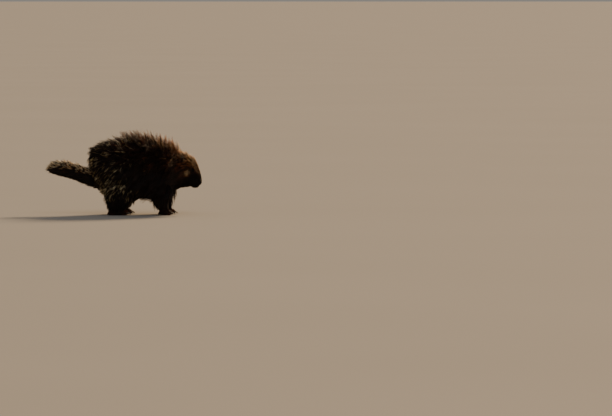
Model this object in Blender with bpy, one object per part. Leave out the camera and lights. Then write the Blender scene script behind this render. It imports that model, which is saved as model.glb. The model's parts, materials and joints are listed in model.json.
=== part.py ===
"""A life-size still model of a North American porcupine, walking with its head low and its tail held out.

Metres, +Z up. The animal faces +X and its left side is +Y. The origin is on the ground, under the middle of
the model. Each part of the body is one closed solid, and neighbours keep NODE_GAP between their faces.
"""

import math
import random

import bmesh
import bpy
import numpy as np
from mathutils import Matrix, Vector

# Driving dimensions, in metres
NODE_GAP = 0.0003
SLIVERS = (0.0002, 0.00015, 0.0001)
LOCK_GAP = 0.0012
TOE_LIFT = 0.0006

CORE_SHARE = 0.45
NECK_BACK_X = 0.190
NECK_FRONT_X = 0.234
TAIL_ROOT_X = -0.085
ANKLE_Z = 0.020
LEG_TOP_Z = 0.170
EYE_RADIUS = 0.0052
EYE_X, EYE_ANGLE = 0.2855, math.radians(67)
EAR_X, EAR_ANGLE = 0.2500, math.radians(43)
EAR_HEIGHT, EAR_WIDTH, EAR_DEPTH = 0.024, 0.018, 0.010
HIND_FOOT_LENGTH, FRONT_FOOT_LENGTH = 0.080, 0.050
CLAW_RADIUS = 0.0022
QUILL_RADIUS = 0.0012

# Trunk: x, height of the back, height of the belly, half width, coat on the back, coat under the belly
TRUNK = (
    (-0.1200, 0.2200, 0.1850, 0.012, 0.050, 0.026),
    (-0.1130, 0.2430, 0.1530, 0.042, 0.055, 0.026),
    (-0.0900, 0.2600, 0.1180, 0.072, 0.058, 0.026),
    (-0.0450, 0.2730, 0.0960, 0.092, 0.060, 0.024),
    (0.0100, 0.2830, 0.0860, 0.100, 0.063, 0.020),
    (0.0700, 0.2840, 0.0840, 0.099, 0.067, 0.018),
    (0.1250, 0.2720, 0.0890, 0.088, 0.065, 0.020),
    (0.1700, 0.2560, 0.0990, 0.073, 0.063, 0.026),
    (0.2050, 0.2430, 0.1120, 0.060, 0.060, 0.028),
    (0.2350, 0.2340, 0.1205, 0.052, 0.048, 0.013),
    (0.2580, 0.2290, 0.1225, 0.0480, 0.041, 0.008),
    (0.2800, 0.2185, 0.1225, 0.0405, 0.034, 0.005),
    (0.2980, 0.2035, 0.1225, 0.0305, 0.026, 0.003),
    (0.3120, 0.1850, 0.1245, 0.0225, 0.011, 0.001),
    (0.3205, 0.1660, 0.1290, 0.0160, 0.003, 0.001),
    (0.3250, 0.1480, 0.1370, 0.0060, 0.001, 0.001),
)
# Tail: the same six sizes, from its tip to its root
TAIL = (
    (-0.3130, 0.1930, 0.1850, 0.0060, 0.012, 0.006),
    (-0.3060, 0.1990, 0.1790, 0.0130, 0.020, 0.005),
    (-0.2850, 0.2030, 0.1720, 0.0200, 0.024, 0.005),
    (-0.2460, 0.2030, 0.1620, 0.0270, 0.027, 0.006),
    (-0.2000, 0.1940, 0.1480, 0.0310, 0.024, 0.007),
    (-0.1500, 0.1830, 0.1290, 0.0340, 0.020, 0.008),
    (-0.0850, 0.1780, 0.1060, 0.0360, 0.018, 0.008),
)
# Legs: z, front edge x, back edge x, distance from the middle plane, half width, coat in front, coat behind
FRONT_LEG = (
    (0.1700, 0.1900, 0.1380, 0.0380, 0.0240, 0.012, 0.012),
    (0.1400, 0.1930, 0.1300, 0.0500, 0.0270, 0.012, 0.012),
    (0.1100, 0.1900, 0.1270, 0.0580, 0.0270, 0.012, 0.013),
    (0.0850, 0.1830, 0.1280, 0.0600, 0.0250, 0.013, 0.014),
    (0.0600, 0.1780, 0.1330, 0.0600, 0.0215, 0.014, 0.014),
    (0.0400, 0.1780, 0.1420, 0.0590, 0.0185, 0.010, 0.010),
    (0.0280, 0.1800, 0.1490, 0.0580, 0.0170, 0.003, 0.004),
    (ANKLE_Z, 0.1800, 0.1510, 0.0575, 0.0150, 0.001, 0.001),
)
HIND_LEG = (
    (0.1700, 0.0300, -0.0700, 0.0480, 0.0340, 0.012, 0.012),
    (0.1400, 0.0350, -0.0710, 0.0600, 0.0370, 0.014, 0.012),
    (0.1100, 0.0350, -0.0700, 0.0670, 0.0360, 0.014, 0.013),
    (0.0850, 0.0280, -0.0680, 0.0690, 0.0330, 0.015, 0.013),
    (0.0620, 0.0170, -0.0650, 0.0680, 0.0280, 0.015, 0.012),
    (0.0420, 0.0010, -0.0620, 0.0660, 0.0230, 0.012, 0.009),
    (0.0280, -0.0100, -0.0610, 0.0640, 0.0185, 0.004, 0.004),
    (ANKLE_Z, -0.0140, -0.0600, 0.0635, 0.0150, 0.001, 0.001),
)
# Feet: share of the way from the heel to the toes, height of the top, half width
HIND_FOOT = (
    (0.00, 0.012, 0.0080),
    (0.08, 0.026, 0.0150),
    (0.35, 0.036, 0.0175),
    (0.60, 0.030, 0.0190),
    (0.84, 0.018, 0.0205),
    (0.94, 0.013, 0.0190),
)
FRONT_FOOT = (
    (0.00, 0.013, 0.0080),
    (0.12, 0.030, 0.0145),
    (0.45, 0.036, 0.0175),
    (0.68, 0.026, 0.0185),
    (0.84, 0.017, 0.0190),
    (0.93, 0.013, 0.0175),
)
# Each leg: which pair, side, how far it stands ahead of the drawn leg, x of the heel, toe-in in degrees
LEGS = {
    "front_right": ("front", -1, 0.000, 0.1480, 5),
    "front_left": ("front", 1, 0.012, 0.1480, 5),
    "hind_right": ("hind", -1, 0.000, -0.0650, 3),
    "hind_left": ("hind", 1, 0.014, -0.0650, 3),
}
PAIRS = {
    "front": (FRONT_LEG, FRONT_FOOT, FRONT_FOOT_LENGTH, 4, 0.0575, 0.0150),
    "hind": (HIND_LEG, HIND_FOOT, HIND_FOOT_LENGTH, 5, 0.0640, 0.0145),
}

COLOURS = {
    "coat": ((0.018, 0.013, 0.010), 0.75),
    "mane": ((0.030, 0.019, 0.012), 0.75),
    "face": ((0.022, 0.015, 0.011), 0.7),
    "tail": ((0.060, 0.045, 0.028), 0.7),
    "leg": ((0.014, 0.011, 0.009), 0.75),
    "ear": ((0.020, 0.014, 0.012), 0.6),
    "claw": ((0.030, 0.024, 0.020), 0.35),
    "eye": ((0.006, 0.005, 0.005), 0.08),
}


def clear_scene():
    for old in list(bpy.data.objects):
        bpy.data.objects.remove(old, do_unlink=True)


def new_collection(name):
    collection = bpy.data.collections.new(name)
    bpy.context.scene.collection.children.link(collection)
    return collection


def material(name):
    colour, roughness = COLOURS[name]
    made = bpy.data.materials.get(name) or bpy.data.materials.new(name)
    made.use_nodes = True
    shader = made.node_tree.nodes["Principled BSDF"]
    shader.inputs["Base Color"].default_value = (*colour, 1)
    shader.inputs["Roughness"].default_value = roughness
    shader.inputs["Metallic"].default_value = 0
    return made


class Profile:
    """Smooth curves through a table of stations. at(s) gives every column at the place s of its first one."""

    def __init__(self, stations):
        rows = np.array(sorted(stations), float)
        self.s = rows[:, 0]
        self.v = rows[:, 1:]
        self.slope = np.gradient(self.v, self.s, axis=0)

    def at(self, s):
        s = float(min(max(s, self.s[0]), self.s[-1]))
        i = int(min(np.searchsorted(self.s, s, side="right") - 1, len(self.s) - 2))
        step = self.s[i + 1] - self.s[i]
        t = (s - self.s[i]) / step
        a = (1 + 2 * t) * (1 - t) ** 2
        b = t * (1 - t) ** 2 * step
        c = t * t * (3 - 2 * t)
        d = t * t * (t - 1) * step
        return a * self.v[i] + b * self.slope[i] + c * self.v[i + 1] + d * self.slope[i + 1]


class LongForm:
    """A body form with upright elliptical sections along X, such as the trunk or the tail.

    angle 0 is the top of a section, 90 degrees its left side, and 180 its underside.
    """

    def __init__(self, stations, low_end, high_end):
        self.profile = Profile(stations)
        self.low_x, self.high_x = self.profile.s[0], self.profile.s[-1]
        self.low_end, self.high_end = low_end, high_end

    def coat(self, x, angle):
        _, _, _, on_top, below = self.profile.at(x)
        return below + (on_top - below) * (0.5 + 0.5 * math.cos(angle)) ** 0.8

    def skin(self, x, angle):
        top, bottom, half_width, _, _ = self.profile.at(x)
        middle, half_height = (top + bottom) / 2, (top - bottom) / 2
        return Vector((x, half_width * math.sin(angle), middle + half_height * math.cos(angle)))

    def lean(self, x):
        """How far a normal may lean along X: not at all between the rounded ends, where borders are flat."""
        to_low = (x - self.low_x) / self.low_end if self.low_end else 1
        to_high = (self.high_x - x) / self.high_end if self.high_end else 1
        return 1 - min(1, max(0, min(to_low, to_high)))

    def normal(self, x, angle):
        step = 0.0008
        x0, x1 = max(x - step, self.low_x), min(x + step, self.high_x)
        along = self.skin(x1, angle) - self.skin(x0, angle)
        around = self.skin(x, angle + 0.01) - self.skin(x, angle - 0.01)
        out = along.cross(around).normalized()
        if out.dot(self.skin(x, angle) - self.skin(x, angle + math.pi)) < 0:
            out.negate()
        out.x *= self.lean(x)
        return out.normalized()

    def point(self, x, angle, height):
        return self.skin(x, angle) + self.normal(x, angle) * height

    def solid(self, name, places, sides, share=CORE_SHARE, grow=0.0):
        """The closed form between the first and the last place, filled out to share of the coat's depth."""
        angles = [2 * math.pi * i / sides for i in range(sides)]
        return loft(
            name,
            [[self.point(x, a, self.coat(x, a) * share + grow) for a in angles] for x in places],
        )


class LegForm:
    """A leg with level elliptical sections along Z. angle 0 is its front, and 90 degrees its left side."""

    def __init__(self, stations, side, ahead):
        self.profile = Profile(stations)
        self.side, self.ahead = side, ahead

    def point(self, z, angle, share=0.0, grow=0.0):
        front, back, apart, half_width, coat_front, coat_back = self.profile.at(z)
        coat = coat_back + (coat_front - coat_back) * (0.5 + 0.5 * math.cos(angle))
        reach = coat * share + grow
        middle = (front + back) / 2 + self.ahead
        along = ((front - back) / 2 + reach) * math.cos(angle)
        across = (half_width + reach) * math.sin(angle)
        return Vector((middle + along, self.side * apart + across, z))

    def solid(self, name, places, sides, share=CORE_SHARE, grow=0.0):
        angles = [2 * math.pi * i / sides for i in range(sides)]
        return loft(name, [[self.point(z, a, share, grow) for a in angles] for z in places])


def object_from(name, mesh):
    data = bpy.data.meshes.new(name)
    mesh.to_mesh(data)
    mesh.free()
    made = bpy.data.objects.new(name, data)
    bpy.context.scene.collection.objects.link(made)
    return made


def loft(name, rings, tip=None):
    """A closed object through rings of as many points each, ending in a point if a tip is given."""
    mesh = bmesh.new()
    loops = [[mesh.verts.new(p) for p in ring] for ring in rings]
    count = len(loops[0])
    for lower, upper in zip(loops, loops[1:]):
        for i in range(count):
            j = (i + 1) % count
            mesh.faces.new((lower[i], lower[j], upper[j]))
            mesh.faces.new((lower[i], upper[j], upper[i]))
    mesh.faces.new(loops[0][::-1])
    if tip is None:
        mesh.faces.new(loops[-1])
    else:
        point = mesh.verts.new(tip)
        for i in range(count):
            mesh.faces.new((loops[-1][i], loops[-1][(i + 1) % count], point))
    bmesh.ops.recalc_face_normals(mesh, faces=mesh.faces)
    if mesh.calc_volume(signed=True) < 0:
        bmesh.ops.reverse_faces(mesh, faces=mesh.faces)
    bmesh.ops.triangulate(mesh, faces=mesh.faces)
    return object_from(name, mesh)


def ellipsoid(name, centre, radii, turn=None, rings=6, segments=8):
    mesh = bmesh.new()
    bmesh.ops.create_uvsphere(mesh, u_segments=segments, v_segments=rings, radius=1)
    frame = Matrix.Translation(centre) @ (turn or Matrix.Identity(4)) @ Matrix.Diagonal((*radii, 1))
    bmesh.ops.transform(mesh, matrix=frame, verts=mesh.verts)
    return object_from(name, mesh)


def ring_bar(name, centre, out, major, minor):
    """A torus about the direction out."""
    turn = Vector((0, 0, 1)).rotation_difference(out)
    bpy.ops.mesh.primitive_torus_add(
        location=centre,
        rotation=turn.to_euler(),
        major_radius=major,
        minor_radius=minor,
        major_segments=12,
        minor_segments=5,
    )
    made = bpy.context.object
    made.name = name
    return made


def tube(name, points, radius, end_share=1.0):
    """A closed round tube through points, thinner at both ends by end_share."""
    curve = bpy.data.curves.new(name, "CURVE")
    curve.dimensions = "3D"
    curve.bevel_depth = radius
    curve.bevel_resolution = 0
    curve.use_fill_caps = True
    spline = curve.splines.new("POLY")
    spline.points.add(len(points) - 1)
    for i, point in enumerate(points):
        spline.points[i].co = (*point, 1)
        spline.points[i].radius = end_share if i in (0, len(points) - 1) else 1
    drawn = bpy.data.objects.new(name, curve)
    bpy.context.scene.collection.objects.link(drawn)
    graph = bpy.context.evaluated_depsgraph_get()
    mesh = bmesh.new()
    mesh.from_mesh(bpy.data.meshes.new_from_object(drawn.evaluated_get(graph)))
    bmesh.ops.remove_doubles(mesh, verts=mesh.verts, dist=0.00002)
    bmesh.ops.recalc_face_normals(mesh, faces=mesh.faces)
    bpy.data.objects.remove(drawn, do_unlink=True)
    return object_from(name, mesh)


def boolean(target, tools, operation, solver="MANIFOLD"):
    """Joins the tools to the target, or cuts them from it, in one modifier that is applied."""
    group = new_collection(target.name + "_tools")
    for tool in tools:
        for user in list(tool.users_collection):
            user.objects.unlink(tool)
        group.objects.link(tool)
    modifier = target.modifiers.new(operation.lower(), "BOOLEAN")
    modifier.operation = operation
    modifier.solver = solver
    modifier.operand_type = "COLLECTION"
    modifier.collection = group
    graph = bpy.context.evaluated_depsgraph_get()
    made = bpy.data.meshes.new_from_object(target.evaluated_get(graph))
    target.modifiers.clear()
    target.data = made
    for tool in tools:
        bpy.data.objects.remove(tool, do_unlink=True)
    bpy.data.collections.remove(group)
    return target


def six_volumes(face):
    a, b, c = (v.co for v in face.verts)
    return a.dot(b.cross(c))


def surfaces(mesh):
    """The faces of each connected surface of a mesh."""
    groups, seen = [], set()
    for start in mesh.faces:
        if start in seen:
            continue
        group, waiting = [], [start]
        seen.add(start)
        while waiting:
            face = waiting.pop()
            group.append(face)
            for edge in face.edges:
                for other in edge.link_faces:
                    if other not in seen:
                        seen.add(other)
                        waiting.append(other)
        groups.append(group)
    return groups


def is_closed(mesh):
    """True if every edge has two faces, every vertex one fan of them, and no two faces the same corners."""
    corners = {frozenset(vert.index for vert in face.verts) for face in mesh.faces}
    if len(corners) < len(mesh.faces):
        return False
    return all(edge.is_manifold for edge in mesh.edges) and all(vert.is_manifold for vert in mesh.verts)


def keep_largest(target):
    """Leaves only the closed surface that encloses most, so that no sealed hollow or loose scrap stays."""
    mesh = bmesh.new()
    mesh.from_mesh(target.data)
    bmesh.ops.triangulate(mesh, faces=mesh.faces)
    groups = surfaces(mesh)
    largest = max(groups, key=lambda group: sum(six_volumes(face) for face in group))
    loose = [face for group in groups if group is not largest for face in group]
    bmesh.ops.delete(mesh, geom=loose, context="FACES")
    mesh.to_mesh(target.data)
    for sliver in SLIVERS:
        bmesh.ops.dissolve_degenerate(mesh, dist=sliver, edges=mesh.edges)
        bmesh.ops.triangulate(mesh, faces=mesh.faces)
        if is_closed(mesh):
            mesh.to_mesh(target.data)
            break
        mesh.clear()
        mesh.from_mesh(target.data)
    mesh.free()
    return target


def finish_node(target, name, colour, parts):
    keep_largest(target)
    target.name = name
    target.data.name = name
    target.data.materials.clear()
    target.data.materials.append(material(colour))
    for user in list(target.users_collection):
        user.objects.unlink(target)
    parts.objects.link(target)
    return target


def tapered(name, path, widths, heights, out, sides=3):
    """A bent, tapered spike along path, ending in a point. Three sides make a flat lock with a ridge."""
    rings = []
    for i in range(len(path) - 1):
        ahead = (path[i + 1] - path[max(i - 1, 0)]).normalized()
        across = ahead.cross(out).normalized()
        up = across.cross(ahead).normalized()
        ring = []
        for k in range(sides):
            a = 2 * math.pi * k / sides + math.pi / 2
            ring.append(path[i] + across * widths[i] * math.cos(a) + up * heights[i] * math.sin(a))
        rings.append(ring)
    return loft(name, rings, tip=path[-1])


def curved_path(root, first, last, length, count):
    """Points from root that leave along first and turn to last by the tip."""
    points = [root.copy()]
    for i in range(count):
        t = (i + 0.5) / count
        points.append(points[-1] + first.lerp(last, t).normalized() * (length / count))
    return points


class Bar:
    """A round bar from a to b that the locks of other nodes bend clear of."""

    def __init__(self, a, b, radius_a, radius_b):
        self.a, self.b = Vector(a), Vector(b)
        self.radius_a, self.radius_b = radius_a, radius_b

    def push(self, point, clearance):
        along = self.b - self.a
        t = min(1, max(0, (point - self.a).dot(along) / along.length_squared))
        nearest = self.a + along * t
        needed = self.radius_a + (self.radius_b - self.radius_a) * t + clearance
        away = point - nearest
        if away.length >= needed:
            return point
        return nearest + away.normalized() * needed


def bend_clear(path, clearance, guards):
    """The path with every point but its root pushed out of the guards."""
    moved = [path[0]]
    for point in path[1:]:
        for guard in guards:
            point = guard.push(point, clearance)
        moved.append(point)
    return moved


LOCK_STEPS = 3
LOCK_WIDTHS = (0.85, 1.0, 0.62, 0.0)


def lock(name, root, out, first, last, length, half_width, thickness, guards=()):
    path = curved_path(root, first, last, length, LOCK_STEPS)
    path = bend_clear(path, thickness * 0.6, guards)
    widths = [half_width * share for share in LOCK_WIDTHS]
    heights = [thickness * share for share in LOCK_WIDTHS]
    return tapered(name, path, widths, heights, out)


def quill(name, root, out, first, last, length, guards=()):
    path = curved_path(root, first, last, length, 2)
    path = bend_clear(path, QUILL_RADIUS, guards)
    widths = [QUILL_RADIUS, QUILL_RADIUS * 0.9, 0]
    return tapered(name, path, widths, widths, out)


def steps(low, high, count):
    return [low + (high - low) * i / (count - 1) for i in range(count)]


def rounded_steps(low, high, count, at_low, at_high):
    """Places between low and high, closer together towards an end that is rounded."""
    made = []
    for i in range(count):
        t = i / (count - 1)
        if at_low:
            t = 1 - math.cos(math.pi / 2 * t)
        elif at_high:
            t = math.sin(math.pi / 2 * t)
        made.append(low + (high - low) * t)
    return made


def trunk_lie(x, angle):
    """How the coat stands at a place on the trunk: its lift off the skin, its pull back and its pull down."""
    up = math.cos(angle)
    on_back = max(0.0, up) ** 1.2
    on_head = min(1.0, max(0.0, (x - 0.245) / 0.03))
    lift = 0.42 + 0.40 * on_back + 0.25 * on_head
    back = 0.55 - 0.10 * on_back - 0.10 * on_head
    down = 0.50 * (1 - on_back) if up > -0.4 else 0.30
    return lift, back, down


def border_slant(angle):
    """How far a border between two nodes goes back for each step out, which follows the lie of the coat."""
    return 1.0 - 0.45 * max(0.0, math.cos(angle))


def beyond_border(trunk, border_x, side):
    """The space ahead of a border, for side 1, or behind it, for side -1. It cuts locks that cross over."""
    sides = 20
    deep, out_to, reach = -0.03, 0.12, 0.30
    start = border_x - side * (NODE_GAP / 2 + 0.00005)
    angles = [2 * math.pi * i / sides for i in range(sides)]

    def ring(shift, height, slanted):
        made = []
        for a in angles:
            base = trunk.coat(border_x, a) * CORE_SHARE + 0.001
            drop = border_slant(a) * (height - base) if slanted else 0
            spot = trunk.point(border_x, a, height if slanted or height < 0 else base)
            made.append(Vector((start + shift - drop, spot.y, spot.z)))
        return made

    def outer(shift):
        return [
            Vector((start + shift, p.y * 3, 0.17 + (p.z - 0.17) * 3))
            for p in (trunk.point(border_x, a, out_to) for a in angles)
        ]

    rings = [ring(0, deep, False), ring(0, 0.0, False), ring(0, out_to, True)]
    rings.append(outer(side * reach - (0.0 if side > 0 else 0.1)))
    rings.append([Vector((start + side * reach, p.y * 0.3, 0.17 + (p.z - 0.17) * 0.3)) for p in rings[-1]])
    return loft("beyond_border", rings)


def trunk_directions(trunk, x, angle, sway, source):
    out = trunk.normal(x, angle)
    lift, back, down = trunk_lie(x, angle)
    lie = Vector((-back, source.uniform(-sway, sway), source.uniform(-sway, sway) - down))
    first = (out * (lift + 0.15) + lie).normalized()
    last = (out * lift * 0.55 + lie * 1.2).normalized()
    return out, first, last


def trunk_locks(trunk, rows, spread, half_width, thickness, guards, seed):
    """Locks in staggered rows round the trunk. Each row is its x and the last angle it reaches each way."""
    source = random.Random(seed)
    made = []
    for row, (x, widest) in enumerate(rows):
        top, bottom, half, _, _ = trunk.profile.at(x)
        girth = math.pi * (half + (top - bottom) / 2 + 0.03)
        count = max(4, round(girth * widest / math.pi / spread))
        for i in range(count):
            angle = widest * (2 * (i + 0.25 + 0.5 * (row % 2)) / count - 1)
            angle += source.uniform(-0.25, 0.25) * widest / count
            place = x + source.uniform(-0.004, 0.004)
            place = min(max(place, trunk.low_x + 0.001), trunk.high_x)
            coat = trunk.coat(place, angle)
            out, first, last = trunk_directions(trunk, place, angle, 0.12, source)
            sunk = coat * CORE_SHARE - 0.010
            root = trunk.point(place, angle, sunk)
            climb = coat * 1.02 - sunk
            length = climb / max(0.45, first.lerp(last, 0.5).normalized().dot(out))
            length *= source.uniform(0.92, 1.08)
            width = half_width * source.uniform(0.85, 1.1)
            made.append(
                lock(f"lock{len(made)}", root, out, first, last, length, width, thickness, guards)
            )
    return made


def trunk_quills(trunk, places, guards, seed, length=0.062):
    """Pale quills that stand among the locks of the rump and the lower back."""
    source = random.Random(seed)
    made = []
    for x, angle in places:
        x += source.uniform(-0.008, 0.008)
        angle += source.uniform(-0.08, 0.08)
        out, first, last = trunk_directions(trunk, x, angle, 0.25, source)
        root = trunk.point(x, angle, trunk.coat(x, angle) * CORE_SHARE - 0.008)
        first = (first + out * 0.35).normalized()
        made.append(quill(f"quill{len(made)}", root, out, first, last, length, guards))
    return made


def dress(core, locks, cutters, others=()):
    """Joins the locks to their core, once they are cut clear of what they may not touch."""
    coat = boolean(locks[0], locks[1:], "UNION")
    if cutters:
        boolean(coat, cutters, "DIFFERENCE")
    boolean(core, [coat, *others], "UNION")


def torso_core(trunk, share=CORE_SHARE, grow=0.0, name="torso"):
    places = rounded_steps(trunk.low_x, NECK_BACK_X - NODE_GAP / 2 + grow, 12, True, False)
    return trunk.solid(name, places, 20, share, grow)


def neck_core(trunk, share=CORE_SHARE, grow=0.0, name="neck"):
    places = steps(NECK_BACK_X + NODE_GAP / 2 - grow, NECK_FRONT_X - NODE_GAP / 2 + grow, 3)
    return trunk.solid(name, places, 20, share, grow)


def head_core(trunk, share=CORE_SHARE, grow=0.0, name="head"):
    places = rounded_steps(NECK_FRONT_X + NODE_GAP / 2 - grow, trunk.high_x, 11, False, True)
    return trunk.solid(name, places, 20, share, grow)


def tail_core(tail, share=CORE_SHARE, grow=0.0, name="tail"):
    places = rounded_steps(tail.low_x, TAIL_ROOT_X, 10, True, False)
    return tail.solid(name, places, 14, share, grow)


def leg_form(name):
    pair, side, ahead, _, _ = LEGS[name]
    return LegForm(PAIRS[pair][0], side, ahead)


def leg_core(name, share=CORE_SHARE, grow=0.0):
    return leg_form(name).solid("leg_" + name, steps(ANKLE_Z, LEG_TOP_Z, 7), 11, share, grow)


def leg_guards():
    """Round bars that hold each leg with its coat, for the locks of the trunk to keep clear of."""
    made = []
    for name in LEGS:
        form = leg_form(name)
        for low, high in ((0.03, 0.06), (0.06, 0.085), (0.085, 0.12)):
            ends, radii = [], []
            for z in (low, high):
                front, back, _, half_width, coat, _ = form.profile.at(z)
                middle = (form.point(z, 0) + form.point(z, math.pi)) / 2
                ends.append(middle)
                radii.append(half_width + coat)
            made.append(Bar(*ends, *radii))
    return made


def build_torso(trunk, tail, guards, parts, seed):
    core = torso_core(trunk)
    rows = [(-0.1190, 2.0), (-0.1160, 2.0), (-0.1080, 2.1), (-0.0940, 2.2)]
    rows += [(x, 2.9) for x in steps(-0.068, 0.168, 8)]
    locks = trunk_locks(trunk, rows, 0.0440, 0.0172, 0.0063, guards, seed)
    spots = [
        (x, side * angle)
        for x in steps(-0.104, 0.02, 4)
        for angle in (0.3, 0.9, 1.45, 1.95)
        for side in (-1, 1)
    ]
    locks += trunk_quills(trunk, spots, guards, seed + 1)
    cutters = [beyond_border(trunk, NECK_BACK_X, 1), tail_core(tail, 1.0, NODE_GAP, "clear")]
    cutters += [leg_core(name, 1.0, LOCK_GAP) for name in LEGS]
    dress(core, locks, cutters)
    return finish_node(core, "torso", "coat", parts)


def build_neck(trunk, guards, parts, seed):
    core = neck_core(trunk)
    rows = [(0.2010, 3.0), (0.2150, 3.0), (0.2280, 3.0)]
    locks = trunk_locks(trunk, rows, 0.045, 0.0152, 0.0058, guards, seed)
    cutters = [beyond_border(trunk, NECK_BACK_X, -1), beyond_border(trunk, NECK_FRONT_X, 1)]
    cutters += [leg_core(name, 1.0, LOCK_GAP) for name in LEGS if "front" in name]
    dress(core, locks, cutters)
    return finish_node(core, "neck", "mane", parts)


def eye_place(trunk, side):
    out = trunk.normal(EYE_X, side * EYE_ANGLE)
    surface = trunk.point(EYE_X, side * EYE_ANGLE, trunk.coat(EYE_X, EYE_ANGLE) * CORE_SHARE)
    return surface - out * EYE_RADIUS * 0.45, out


def ear_frame(trunk, side):
    """The middle of an ear cup, and the turn that points its height up and its hollow ahead."""
    root = trunk.point(EAR_X, side * EAR_ANGLE, trunk.coat(EAR_X, EAR_ANGLE) * CORE_SHARE)
    up = (trunk.normal(EAR_X, side * EAR_ANGLE) + Vector((-0.25, 0, 0.25))).normalized()
    ahead = Vector((1, side * 0.55, 0))
    ahead = (ahead - up * ahead.dot(up)).normalized()
    across = up.cross(ahead)
    turn = Matrix((ahead, across, up)).transposed().to_4x4()
    return root + up * EAR_HEIGHT * 0.22, turn, ahead


def ear_body(trunk, side, grow=0.0):
    centre, turn, _ = ear_frame(trunk, side)
    radii = [EAR_DEPTH / 2 + grow, EAR_WIDTH / 2 + grow, EAR_HEIGHT / 2 + grow]
    return ellipsoid("ear", centre, radii, turn)


def build_ear(trunk, side, parts):
    ear = ear_body(trunk, side)
    centre, turn, ahead = ear_frame(trunk, side)
    radii = [EAR_DEPTH * 0.42, EAR_WIDTH * 0.34, EAR_HEIGHT * 0.37]
    hollow = ellipsoid("hollow", centre + ahead * EAR_DEPTH * 0.42, radii, turn, 6, 8)
    boolean(ear, [hollow, head_core(trunk, grow=NODE_GAP, name="clear")], "DIFFERENCE")
    return finish_node(ear, "ear_left" if side > 0 else "ear_right", "ear", parts)


def build_eye(trunk, side, parts):
    centre, _ = eye_place(trunk, side)
    eye = ellipsoid("eye", centre, [EYE_RADIUS] * 3, None, 6, 9)
    return finish_node(eye, "eye_left" if side > 0 else "eye_right", "eye", parts)


def muzzle_point(trunk, x, z, side, height):
    """A point on the muzzle at x and z, out from its core by height."""
    top, bottom, _, _, _ = trunk.profile.at(x)
    middle, half_height = (top + bottom) / 2, (top - bottom) / 2
    angle = side * math.acos(min(1, max(-1, (z - middle) / half_height)))
    return trunk.point(x, angle, trunk.coat(x, angle) * CORE_SHARE + height)


MOUTH_LINE = ((0.2880, 0.1285), (0.3000, 0.1305), (0.3120, 0.1325), (0.3190, 0.1345))


def mouth_bar(trunk, drop, height, radius):
    """A round bar along the mouth line, from corner to corner past the front of the muzzle."""
    right = [muzzle_point(trunk, x, z + drop, -1, height) for x, z in MOUTH_LINE]
    left = [muzzle_point(trunk, x, z + drop, 1, height) for x, z in reversed(MOUTH_LINE)]
    front = Vector((0.3228 + height, 0, MOUTH_LINE[-1][1] + drop))
    return tube("mouth_bar", right + [front] + left, radius, 0.55)


def clear_of_eyes(trunk, locks):
    """The locks that leave the eyes free, with the others removed."""
    centres = [eye_place(trunk, side)[0] for side in (-1, 1)]
    kept = []
    for piece in locks:
        near = min((v.co - centre).length for v in piece.data.vertices for centre in centres)
        if near > EYE_RADIUS + 0.004:
            kept.append(piece)
        else:
            bpy.data.objects.remove(piece, do_unlink=True)
    return kept


def build_head(trunk, parts, seed):
    core = head_core(trunk)
    lids, sockets = [], []
    for side in (-1, 1):
        centre, out = eye_place(trunk, side)
        lids.append(ring_bar("lid", centre + out * EYE_RADIUS * 0.42, out, EYE_RADIUS, 0.0014))
        sockets.append(ellipsoid("socket", centre, [EYE_RADIUS + NODE_GAP] * 3, None, 6, 9))
    chin = ellipsoid("chin", Vector((0.2950, 0, 0.1250)), (0.0190, 0.0160, 0.0100), None, 6, 10)
    lips = [mouth_bar(trunk, 0.0019, 0.0001, 0.0017), mouth_bar(trunk, -0.0019, -0.0003, 0.0016)]
    rows = [(0.2460, 2.7), (0.2610, 2.4), (0.2750, 1.4), (0.2890, 0.95), (0.3020, 0.85)]
    locks = clear_of_eyes(trunk, trunk_locks(trunk, rows, 0.0340, 0.0116, 0.0046, (), seed))
    cutters = [beyond_border(trunk, NECK_FRONT_X, -1)]
    cutters += [ear_body(trunk, side, NODE_GAP) for side in (-1, 1)]
    dress(core, locks, cutters, [chin, *lids, *lips])
    nostrils = []
    for side in (-1, 1):
        spot = muzzle_point(trunk, 0.3215, 0.1490, side, 0.0)
        nostrils.append(ellipsoid("nostril", spot, (0.0030, 0.0014, 0.0021), None, 5, 8))
    boolean(core, sockets + nostrils + [mouth_bar(trunk, 0, 0.0006, 0.0011)], "DIFFERENCE")
    return finish_node(core, "head", "face", parts)


def tail_directions(tail, x, angle, source):
    out = tail.normal(x, angle)
    on_top = max(0.0, math.cos(angle))
    lie = Vector((-0.85, source.uniform(-0.12, 0.12), 0.05 - 0.25 * (1 - on_top)))
    first = (out * (0.45 + 0.35 * on_top) + lie).normalized()
    last = (out * (0.25 + 0.30 * on_top) + lie).normalized()
    return out, first, last


def build_tail(trunk, tail, parts, seed):
    core = tail_core(tail)
    boolean(core, [torso_core(trunk, grow=NODE_GAP, name="clear")], "DIFFERENCE")
    source = random.Random(seed)
    pieces = []
    for row, x in enumerate(steps(-0.303, -0.168, 6)):
        for i in range(5):
            angle = 2 * math.pi * (i + 0.5 * (row % 2)) / 5
            out, first, last = tail_directions(tail, x, angle, source)
            root = tail.point(x, angle, tail.coat(x, angle) * CORE_SHARE - 0.005)
            length = (tail.coat(x, angle) * 0.62 + 0.006) / max(0.35, first.dot(out))
            if math.cos(angle) > 0.5:
                shift = tail.point(x + 0.010, angle + 0.3, tail.coat(x, angle) * CORE_SHARE - 0.005)
                pieces.append(quill(f"q{len(pieces)}", shift, out, first, last, length * 1.1))
            length = min(length, 0.040)
            pieces.append(lock(f"l{len(pieces)}", root, out, first, last, length, 0.0105, 0.0038))
    dress(core, pieces, [])
    return finish_node(core, "tail", "tail", parts)


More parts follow.
